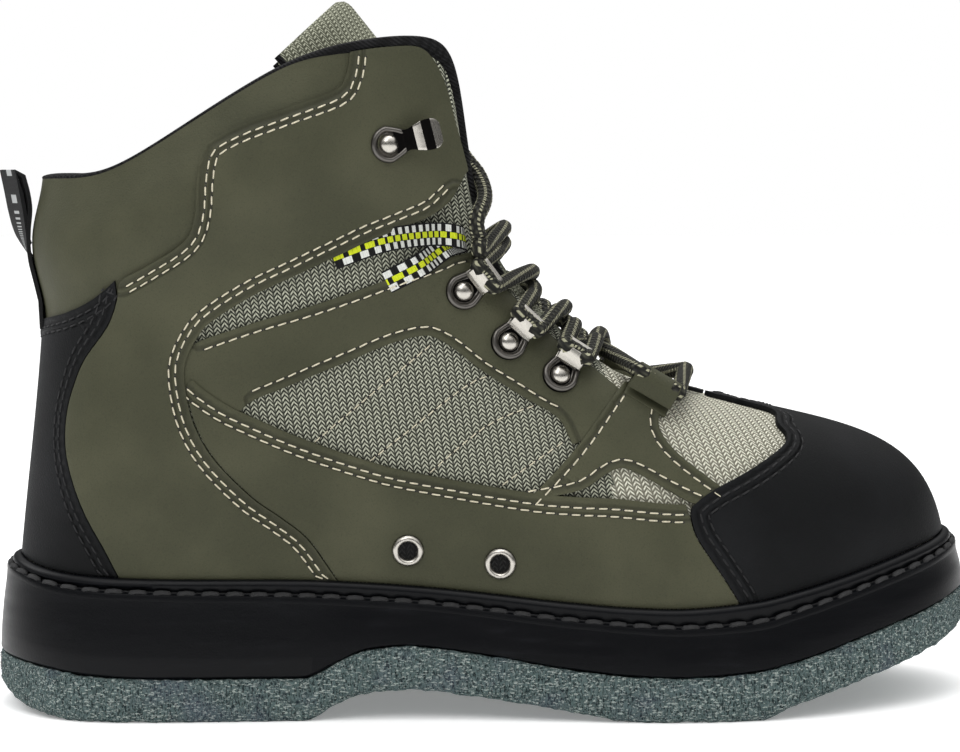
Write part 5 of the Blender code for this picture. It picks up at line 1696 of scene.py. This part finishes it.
def make_hook(side_name, mirrored):
    """Open lace hook with painted shade on its neck and across its slot, on its riveted plate."""
    seat = seat_frame(*LACE_HOOK, mirrored, top_of("ankle_panel"))
    plate = disc("plate", seat, RIM_PLATE, 0.35, 0.3)
    strip = curled("strip", seat, HOOK_CURL, SHEET_METAL * 1.4)
    head = disc("head", seat, RIVET_HEAD)
    coat(plate, "gunmetal")
    coat(strip, "nickel", "well")
    rivet = Vector(world(seat[0]))
    for face in strip.data.polygons:
        run = (face.center - rivet).dot(Vector(seat[1]))
        # Painted shade on the hook's neck and on a band across its slot
        dark = run < HOOK_NECK or HOOK_SLOT[0] < run < HOOK_SLOT[1]
        face.material_index = 1 if dark else 0
    coat(head, "nickel")
    piece = join([plate, strip, head], f"hook_{side_name}")
    settle(piece, None, [f"lace_hook_{side_name}", f"hook_rivet_{side_name}"])


def make_drain(number, side_name, mirrored):
    """Drain eyelet: a bright ring round dark gauze."""
    seat = seat_frame(DRAINS[number - 1], (1.0, 0.0), mirrored, top_of("mudguard"))
    piece = disc(f"drain_{number}_{side_name}", seat, GROMMET)
    coat(piece, "nickel", "lining", "well")
    centre = Vector(world(seat[0]))
    for face in piece.data.polygons:
        away = (face.center - centre).length
        # Faces past the ring's edge get the painted shade; the middle gets the lining's dark knit as
        # gauze
        face.material_index = 1 if away < GAUZE_RADIUS else 2 if away > RING_EDGE else 0
    settle(piece, None, [f"drain_eyelet_{number}_{side_name}"])


def make_hardware():
    """Lace tunnels, hooks, strap loops and drain eyelets on both sides."""
    for side_name, mirrored in (("outer", False), ("inner", True)):
        for number in range(1, len(LACE_TUNNELS) + 1):
            make_tunnel(number, side_name, mirrored)
        make_hook(side_name, mirrored)
        seat = seat_frame(*STRAP_LOOP, mirrored, top_of("vamp_strap") - 0.0012)
        piece = curled(f"strap_fold_{side_name}", seat, STRAP_CURL, PANEL, STRAP_LOOP_WIDTH)
        settle(piece, SURFACES["olive"], [f"strap_loop_{side_name}"])
        for number in range(1, len(DRAINS) + 1):
            make_drain(number, side_name, mirrored)


def ribbon(name, rows, thickness, surface, nodes, count=60):
    """A strip of webbing through rows of (centre, direction across, half width)."""
    data = smooth_path([np.concatenate([c, a, [h]]) for c, a, h in rows], count)

    def place(s, t):
        index = np.round(s * (count - 1)).astype(int)
        across = data[index, 3:6] / np.linalg.norm(data[index, 3:6], axis=1, keepdims=True)
        return data[index, :3] + across * (data[index, 6] * (t * 2 - 1))[:, None]

    piece = grid(name, count - 1, 8, place)
    thicken(piece, thickness, 0.0, thickness * 0.25, 1, 60)
    tidy(piece, merge=False, angle=40)
    return settle(piece, surface, nodes)


def make_webbing():
    """Pull loop on the back seam and the striped lace loops below the ankle flaps."""
    v = np.linspace(0, 1, 300)
    back = upper_point(np.zeros(300), v, SEAT_GAP)
    rows = []
    for row in PULL_ROWS:
        z = share(row.z, SHAFT_HEIGHT)
        x = np.interp(z, back[:, 2], back[:, 0]) - 0.0009 - row.away * PULL_REACH
        turned = math.radians(PULL_TURN) * min(1.0, row.away * 3)
        across = np.array([-math.sin(turned), math.cos(turned), 0.0])
        rows.append((np.array([x, 0.0, z]), across, PULL_WIDTH / 2))
    ribbon("pull_webbing", rows, 0.0013, SURFACES["pull"], ["pull_loop"], 90)
    for side_name, mirrored in (("outer", False), ("inner", True)):
        rows = []
        outs = (0.0009, 0.0014, 0.0026, 0.0046, 0.0036, 0.0028, 0.0012, 0.0009)
        route = list(zip(WEBBING_UPPER + [WEBBING_FOLD] + WEBBING_LOWER, outs))
        places = []
        normals = []
        for spot, out in route:
            u, height = inner([SIDE(spot)])[0] if mirrored else SIDE(spot)
            places.append(upper_point(u, height, out))
            normals.append(upper_normal(u, height))
        fold = len(WEBBING_UPPER)
        for i, (place, normal) in enumerate(zip(places, normals)):
            first, last = (0, fold - 1) if i <= fold else (fold + 1, len(places) - 1)
            before = places[max(min(i, last) - 1, first)]
            after = places[min(max(i, first) + 1, last)]
            way = after - before if i < fold else before - after
            if i == fold:
                way = places[fold] - places[0]
            across = np.cross(normal, way)
            across *= -1 if mirrored else 1
            rows.append((place, across / np.linalg.norm(across), 0.0036))
        name = f"striped_loop_{side_name}"
        nodes = [f"webbing_loop_{side_name}"]
        ribbon(name, rows, 0.0009, SURFACES["striped"], nodes)


def lace_bed():
    """Places that the lace lies on, with the way out and the lace's clearance from each."""
    u, v = np.meshgrid(np.linspace(0.4, 1.0, 91), np.linspace(0.55, 1.0, 28), indexing="ij")
    leather_lift = np.where(v < 0.97, PANEL + SEAT_GAP, 0.0)
    places = [upper_point(u, v).reshape(-1, 3)]
    ways = [upper_normal(u, v).reshape(-1, 3)]
    need = [leather_lift.ravel() + LACE_DIAMETER / 2 + 0.0002]
    s, t = np.meshgrid(np.linspace(0.05, 1.0, 60), np.linspace(-1, 0, 18), indexing="ij")
    step = 1e-3
    by_s = tongue_point(s + step, t) - tongue_point(s - step, t)
    by_t = tongue_point(s, t + step) - tongue_point(s, t - step)
    out = np.cross(by_t, by_s)
    out *= np.sign(out[..., :1]) / np.linalg.norm(out, axis=-1, keepdims=True)
    places.append(tongue_point(s, t).reshape(-1, 3))
    ways.append(out.reshape(-1, 3))
    need.append(np.full(s.size, LACE_DIAMETER / 2 + 0.0010))
    return np.vstack(places), np.vstack(ways), np.concatenate(need)


def lay(path, bed):
    """The path with each point lifted clear of what the lace lies on."""
    places, ways, need = bed
    laid = []
    for point in path:
        mirror = np.array([1, -1 if point[1] > 0 else 1, 1])
        p = point * mirror
        for _ in range(3):
            near = np.argmin(np.linalg.norm(places - p, axis=1))
            short = need[near] - (p - places[near]).dot(ways[near])
            p = p + ways[near] * max(0.0, short)
        laid.append(p * mirror)
    return laid


def barrel(spot, toward, centre, width, mirrored):
    """The lace's points through a loop, from its lower end to its upper end."""
    seat = seat_frame(spot, toward, mirrored)
    upward = 1 if seat[2][2] > 0 else -1
    reach = np.array([-0.95, -0.5, 0.0, 0.5, 0.95]) * width / 2 * upward
    return list(on_frame(seat, np.full(5, centre[0] / 1000), reach, np.full(5, centre[1] / 1000)))


def braid(run, turn):
    """Relief of the braid's plaits."""
    pitch = 2 * math.pi / 0.0048
    return 1 + 0.05 * np.sin(3 * turn + run * pitch) * np.sin(3 * turn - run * pitch)


def make_lace():
    """One lace from hold to hold through every loop, and its two free ends."""
    bed = lace_bed()
    loops = []
    for mirrored in (False, True):
        through = [barrel(*t, BARREL, 0.0084, mirrored) for t in LACE_TUNNELS]
        through.append(barrel(*STRAP_LOOP, STRAP_BARREL, STRAP_LOOP_WIDTH, mirrored))
        loops.append(through)
    flip = np.array([1, -1, 1])
    crown = at((LACE_BAR_CREST[0], 0.0, LACE_BAR_CREST[1]))
    halves = []
    for start in (0, 1):
        side = start
        run = loops[side][3]
        route = [crown] + lay(smooth_path([crown, run[0]], 8)[1:-1], bed) + run
        for number in (3, 2, 1, 0):
            over = (number + start) % 2 == 0
            out, down = LACE_OVER if over else LACE_UNDER
            x, z = INSTEP_OUT
            top = at((LACE_CREST[number][0], 0.0, LACE_CREST[number][1]))
            top = top + (x * out + z * down, 0.0, z * out - x * down)
            side = 1 - side
            if number:
                goal = loops[side][number - 1]
            else:
                goal = [at(p) * (flip if side else 1) for p in LACE_HOLD]
            loose = smooth_path([route[-1], top, goal[0]], 11)[1:-1]
            bedded = lay(loose, bed)
            middle = len(bedded) // 2
            for k in (middle - 1, middle, middle + 1):
                bedded[k] = loose[k]
            route += bedded[1:-1] + goal
        halves.append(route)
    whole = halves[0][::-1] + halves[1][1:]
    length = run_of(np.array(whole))[-1]
    path = smooth_path(whole, round(length / 0.0007))
    nodes = [f"lace_crossing_{k}" for k in (1, 2, 3, 4)] + ["lace_bar"]
    radius = LACE_DIAMETER / 2
    tube("lace_run", path, radius, 16, SURFACES["lace"], nodes, braid)
    for side_name, way in (("outer", 1), ("inner", -1)):
        route = [at(p) * (1, way, 1) for p in LACE_END]
        path = smooth_path(route, 120)
        name = f"lace_tail_{side_name}"
        nodes = [f"lace_end_{side_name}"]
        piece = tube(name, path, radius, 16, SURFACES["lace"], nodes, braid)
        tuple(world(route[0]))
        float(run_of(path)[-1])
        world(path).tolist()


def stitch_along(points, normals, store, pitch, length, size=1.0):
    """Adds a row of stitches along a line to the store."""
    run = run_of(points)
    count = max(1, int(run[-1] / pitch))
    for k in range(count):
        spot = (k + 0.5) * run[-1] / count
        ends = [spot - length / 2, spot + length / 2]
        a, b = (np.array([np.interp(e, run, points[:, i]) for i in range(3)]) for e in ends)
        n = np.array([np.interp(spot, run, normals[:, i]) for i in range(3)])
        store.append((a, b, n / np.linalg.norm(n), size))


def stitch_row(line, out, store, pitch=STITCH_PITCH, length=STITCH_LENGTH, size=1.0):
    """Adds a row of stitches along loop positions on the upper to the store."""
    u, v = np.asarray(line).T
    stitch_along(upper_point(u, v, out), upper_normal(u, v), store, pitch, length, size)


def sew(name, store, surface, width, height):
    """Makes one piece of all the stitches in the store."""
    sides = 6
    # Each ring's place along the stitch, its thickness and its lift
    rings = (
        (-0.5, 0.30, -0.25),
        (-0.36, 0.95, 0.12),
        (0.0, 1.0, 0.3),
        (0.36, 0.95, 0.12),
        (0.5, 0.30, -0.25),
    )
    points = []
    faces = []
    for a, b, n, size in store:
        way = b - a
        middle = (a + b) / 2
        across = np.cross(n, way)
        across /= np.linalg.norm(across)
        way = way + across * np.linalg.norm(way) * 0.05
        base = len(points)
        for along, scale, lift in rings:
            for k in range(sides):
                angle = k * 2 * math.pi / sides
                p = middle + way * along + across * math.cos(angle) * width * scale * size
                p = p + n * (math.sin(angle) * height * scale + lift * height) * size
                points.append(p)
        for r in range(len(rings) - 1):
            for k in range(sides):
                j = (k + 1) % sides
                low = base + r * sides
                faces.append((low + k, low + j, low + sides + j, low + sides + k))
        faces.append(tuple(base + k for k in range(sides))[::-1])
        faces.append(tuple(base + (len(rings) - 1) * sides + k for k in range(sides)))
    piece = new_piece(name, points, faces)
    tidy(piece, merge=False, angle=60)
    return settle(piece, surface, [])


def both(line, out, store, **how):
    """A row of stitches on the outer side and the same on the inner side."""
    stitch_row(line, out, store, **how)
    stitch_row([(2 - u, v) for u, v in line], out, store, **how)


def make_stitching():
    """Rows of cream stitches on the olive leather, black ones on the cap and counter, and painted shade
    at the cream stitches' ends.
    """
    cream = []
    black = []
    ankle = top_of("ankle_panel")
    seam = on_side(COLLAR_SEAM)
    front = [foot(ANKLE_FOOT)] + on_side(ANKLE_FRONT + FLAP_EDGE)
    for distance in SEAM_ROWS["ankle_panel"]:
        both(shifted(seam, -distance), ankle, cream)
        both(shifted(front, distance), ankle, cream)
    stay = top_of("lace_stay")
    (distance,) = SEAM_ROWS["lace_stay"]
    both(shifted(on_side(STAY_TOP[1:8]), -distance), stay, cream)
    both(shifted(on_side(STAY_BOTTOM[3:-1]), distance), stay, cream)
    guard = top_of("mudguard")
    for distance in SEAM_ROWS["mudguard"]:
        both(shifted(on_side(MUDGUARD_TOP), -distance), guard, cream)
    strap = top_of("vamp_strap")
    (distance,) = SEAM_ROWS["vamp_strap"]
    both(shifted(on_side(STRAP_BACK), -distance), strap, cream)
    both(shifted(on_side(STRAP_FRONT), distance), strap, cream)
    both(shifted(on_side([STRAP_BACK[0]] + STRAP_FOOT), distance), strap, cream)
    for low, high in WINDOW_LINES:
        line = even([SIDE(low), SIDE(high)], 0.002)
        both(line, 0.0002, cream, size=0.8, length=0.0026, pitch=0.0031)
    cap = top_of("toe_cap")
    edge = [foot(CAP_FOOT)] + on_side(CAP_BACK + CAP_TOP)
    whole = edge + [crest(CAP_CREST)] + inner(edge[::-1])
    for distance in SEAM_ROWS["toe_cap"]:
        stitch_row(shifted(whole, -distance), cap, black)
    counter = top_of("heel_counter")
    edge = [foot(COUNTER_FOOT)] + on_side(COUNTER_FRONT + [COUNTER_TIP] + COUNTER_TOP)
    edge.append(np.array([0.0, edge[-1][1]]))
    whole = edge + across_heel(edge[-2::-1])
    for distance in SEAM_ROWS["heel_counter"]:
        stitch_row(shifted(whole, distance), counter, black)
    wide = user_size("stitch") / 2
    sew("stitches_cream", cream, SURFACES["cream"], wide, wide)
    sew("stitches_black", black, SURFACES["dark"], wide * 1.15, wide * 1.15)
    # Flat dark discs at both ends of each cream stitch: painted shade where the thread sinks into the
    # leather
    hole_shades = []
    for a, b, n, size in cream:
        way = (b - a) / np.linalg.norm(b - a) * 0.0003
        hole_shades += [(p - way, p + way, n, size) for p in (a, b)]
    sew("needle_hole_shade", hole_shades, SURFACES["hole_shade"], 0.00036, 0.00006)


def make_welt_stitches():
    """Chunky black stitches lying in the welt's groove."""
    u = np.linspace(0, 2, 1600)
    xy = outline(u, MIDSOLE_TAPER + 0.0014)
    z = level("welt_seat", xy[:, 0]) + WELT_STRIP - 0.0004
    points = np.column_stack([xy, z])
    normals = np.tile([0.0, 0.0, 1.0], (len(points), 1))
    store = []
    stitch_along(points, normals, store, WELT_STITCH_PITCH, WELT_STITCH_LENGTH)
    sew("welt_stitches", store, SURFACES["dark"], 0.0011, 0.0010)


def make_floor():
    """Pale floor that brightens itself a little, so that it stays white beside the boot."""
    bpy.ops.object.select_all(action="DESELECT")
    bpy.ops.mesh.primitive_plane_add(size=12.0, location=(0, 0, 0))
    floor = bpy.context.object
    floor.name = "floor"
    shader = Shader("floor_pale", Roughness=0.7, Specular_IOR_Level=0.1, Emission_Strength=0.22)
    shader.surface.inputs["Emission Color"].default_value = WHITE
    place, _ = shader.axes()
    tone = shader.mix(shader.noise(place, 2.0), colour(251, 251, 251), colour(248, 248, 248))
    floor.data.materials.append(shader.set(Base_Color=tone))


def make_sky():
    """White studio whose light comes from above, and which the camera sees plain white."""
    studio = bpy.data.worlds.new("studio")
    bpy.context.scene.world = studio
    studio.use_nodes = True
    tree = studio.node_tree
    back = tree.nodes["Background"]
    place = tree.nodes.new("ShaderNodeTexCoord")
    split = tree.nodes.new("ShaderNodeSeparateXYZ")
    sky = tree.nodes.new("ShaderNodeMapRange")
    sky.interpolation_type = "SMOOTHSTEP"
    for key, value in ((1, 0.25), (2, 1.0), (3, 0.12), (4, user_size("sky"))):
        sky.inputs[key].default_value = value
    seen = tree.nodes.new("ShaderNodeLightPath")
    pick_light = tree.nodes.new("ShaderNodeMix")
    pick_light.inputs[3].default_value = 1.0
    tree.links.new(place.outputs["Generated"], split.inputs[0])
    tree.links.new(split.outputs[2], sky.inputs[0])
    tree.links.new(sky.outputs[0], pick_light.inputs[2])
    tree.links.new(seen.outputs["Is Camera Ray"], pick_light.inputs[0])
    tree.links.new(pick_light.outputs[0], back.inputs[1])
    back.inputs[0].default_value = WHITE


def aim(thing, place, target):
    """Adds a lamp or camera at a place, turned towards its target."""
    thing.location = place
    way = Vector(target) - Vector(place)
    thing.rotation_euler = way.to_track_quat("-Z", "Y").to_euler()
    bpy.context.scene.collection.objects.link(thing)


def make_stage():
    """Pale floor, soft studio light from above, and the photograph's camera."""
    make_floor()
    make_sky()
    for name, place, size, power in LAMPS:
        light = bpy.data.lights.new(name, "AREA")
        light.size = size
        light.energy = power
        aim(bpy.data.objects.new(name, light), place, LAMP_TARGET)
    camera = bpy.data.objects.new("camera", bpy.data.cameras.new("camera"))
    camera.data.lens = CAMERA_LENS
    camera.data.sensor_width = CAMERA_SENSOR
    aim(camera, CAMERA_PLACE, CAMERA_TARGET)
    bpy.context.scene.camera = camera
    bpy.context.scene.view_settings.view_transform = "Standard"


def colour_setting(name, description, red, green, blue):
    """A colour setting with its default."""
    return bpy.props.FloatVectorProperty(
        name=name,
        description=description,
        default=(red, green, blue),
        min=0.0,
        max=1.0,
        subtype="COLOR",
    )


def length_setting(name, description, default):
    """A length setting with its default in metres."""
    return bpy.props.FloatProperty(
        name=name,
        description=description,
        default=default,
        min=0.0,
        subtype="DISTANCE",
        unit="LENGTH",
        precision=5,
    )


class BootColours(bpy.types.PropertyGroup):
    """Colours of the boot's finishes."""

    olive: colour_setting("Olive leather", "Main tone of the olive overlays", 0.0500, 0.0515, 0.0290)
    olive_light: colour_setting("Olive highlights", "Paler clouds in the leather", 0.0830, 0.0830, 0.0490)
    black: colour_setting("Black leather", "Toe cap, heel counter and vamp strip", 0.0040, 0.0044, 0.0048)
    rubber: colour_setting("Rubber", "Midsole and welt", 0.0021, 0.0024, 0.0033)
    felt: colour_setting("Felt", "Middle tone of the felt outsole", 0.1450, 0.2050, 0.2010)
    felt_dark: colour_setting("Felt shadows", "Dark fibres of the felt", 0.0170, 0.0290, 0.0320)
    felt_light: colour_setting("Felt highlights", "Pale fibres of the felt", 0.6724, 0.7454, 0.7011)
    mesh: colour_setting("Side mesh", "Threads of the knit in the side windows", 0.5776, 0.5906, 0.4678)
    vamp: colour_setting("Vamp mesh", "Threads of the knit over the toes", 0.9500, 0.9330, 0.7900)
    tongue: colour_setting("Tongue mesh", "Threads of the tongue's knit", 0.5149, 0.5271, 0.4020)
    thread: colour_setting("Thread", "Cream sewing thread", 0.7605, 0.7011, 0.5271)
    stripe: colour_setting("Stripe", "Yellow blocks of the webbing loops", 0.6724, 0.7605, 0.0212)
    lace: colour_setting("Lace", "Ground of the braided lace", 0.0070, 0.0070, 0.0060)
    tracer: colour_setting("Lace tracers", "Pale threads in the lace", 0.3916, 0.3813, 0.2623)
    nickel: colour_setting("Nickel", "Barrels, rivets and rings", 0.5520, 0.5271, 0.4793)


class BootSizes(bpy.types.PropertyGroup):
    """Sizes and lights that may be changed."""

    stitch: length_setting("Stitch thickness", "Thickness of the sewing thread", 0.0005)
    fibre: length_setting("Fibre length", "How far the felt's loose fibres reach", 0.0016)
    sky: bpy.props.FloatProperty(
        name="Top light",
        description="Brightness of the studio's ceiling",
        default=1.75,
        min=0.0,
        subtype="FACTOR",
        max=4.0,
    )


class BootStage(bpy.types.Operator):
    """Adds the floor, the studio light and the camera."""

    bl_idname = "boot.stage"
    bl_label = "Stage"

    def execute(self, context):
        make_stage()
        return {"FINISHED"}


class BootLace(bpy.types.Operator):
    """Threads the lace through its loops and lays its two free ends."""

    bl_idname = "boot.lace"
    bl_label = "Lace"

    def execute(self, context):
        make_lace()
        return {"FINISHED"}


class BootSole(bpy.types.Operator):
    """Makes the felt outsole with its fibres, the midsole and the insole."""

    bl_idname = "boot.sole"
    bl_label = "Sole"

    def execute(self, context):
        make_sole()
        return {"FINISHED"}


class BootWelt(bpy.types.Operator):
    """Makes the welt strip with its bead."""

    bl_idname = "boot.welt"
    bl_label = "Welt"

    def execute(self, context):
        make_welt()
        return {"FINISHED"}


class BootUpper(bpy.types.Operator):
    """Makes the hollow knit upper and its lining."""

    bl_idname = "boot.upper"
    bl_label = "Upper"

    def execute(self, context):
        make_upper()
        return {"FINISHED"}


class BootPanels(bpy.types.Operator):
    """Lays the leather overlays on the upper."""

    bl_idname = "boot.panels"
    bl_label = "Leather panels"

    def execute(self, context):
        make_panels()
        return {"FINISHED"}


class BootTongue(bpy.types.Operator):
    """Makes the padded tongue."""

    bl_idname = "boot.tongue"
    bl_label = "Tongue"

    def execute(self, context):
        make_tongue()
        return {"FINISHED"}


class BootBinding(bpy.types.Operator):
    """Rolls the binding over the topline."""

    bl_idname = "boot.binding"
    bl_label = "Binding"

    def execute(self, context):
        make_binding()
        return {"FINISHED"}


class BootHardware(bpy.types.Operator):
    """Sets the tunnels, hooks, strap loops and drain eyelets."""

    bl_idname = "boot.hardware"
    bl_label = "Hardware"

    def execute(self, context):
        make_hardware()
        return {"FINISHED"}


class BootWebbing(bpy.types.Operator):
    """Folds the pull loop and the striped lace loops."""

    bl_idname = "boot.webbing"
    bl_label = "Webbing"

    def execute(self, context):
        make_webbing()
        return {"FINISHED"}


class BootStitching(bpy.types.Operator):
    """Sews the rows of stitches on the leather."""

    bl_idname = "boot.stitching"
    bl_label = "Stitching"

    def execute(self, context):
        make_stitching()
        return {"FINISHED"}


class BootWeltStitches(bpy.types.Operator):
    """Sews the welt to the midsole."""

    bl_idname = "boot.welt_stitches"
    bl_label = "Welt stitches"

    def execute(self, context):
        make_welt_stitches()
        return {"FINISHED"}


class BootPanel(bpy.types.Panel):
    """Lists the boot's steps and settings in the sidebar."""

    bl_idname = "BOOT_PT_steps"
    bl_label = "Wading boot"
    bl_space_type = "VIEW_3D"
    bl_region_type = "UI"
    bl_category = "Boot"

    def draw(self, context):
        for step in STEPS:
            self.layout.operator(step.bl_idname)
        for group in (context.scene.boot_sizes, context.scene.boot_colours):
            for name in group.__annotations__:
                self.layout.prop(group, name)


# The boot's steps in the order of their making
STEPS = (
    BootStage,
    BootLace,
    BootSole,
    BootWelt,
    BootUpper,
    BootPanels,
    BootTongue,
    BootBinding,
    BootHardware,
    BootWebbing,
    BootStitching,
    BootWeltStitches,
)
CLASSES = (BootColours, BootSizes, *STEPS, BootPanel)


def register():
    """Registers the classes and hangs the settings on the scene."""
    for kind in CLASSES:
        bpy.utils.register_class(kind)
    bpy.types.Scene.boot_colours = bpy.props.PointerProperty(type=BootColours)
    bpy.types.Scene.boot_sizes = bpy.props.PointerProperty(type=BootSizes)


def unregister():
    """Takes the settings off the scene and unregisters the classes."""
    del bpy.types.Scene.boot_colours
    del bpy.types.Scene.boot_sizes
    for kind in reversed(CLASSES):
        bpy.utils.unregister_class(kind)


def main():
    """Makes the whole boot."""
    register()
    for step in STEPS:
        group, name = step.bl_idname.split(".")
        if getattr(getattr(bpy.ops, group), name)() != {"FINISHED"}:
            raise RuntimeError(f"{step.bl_label} could not be made")


if __name__ == "__main__":
    main()
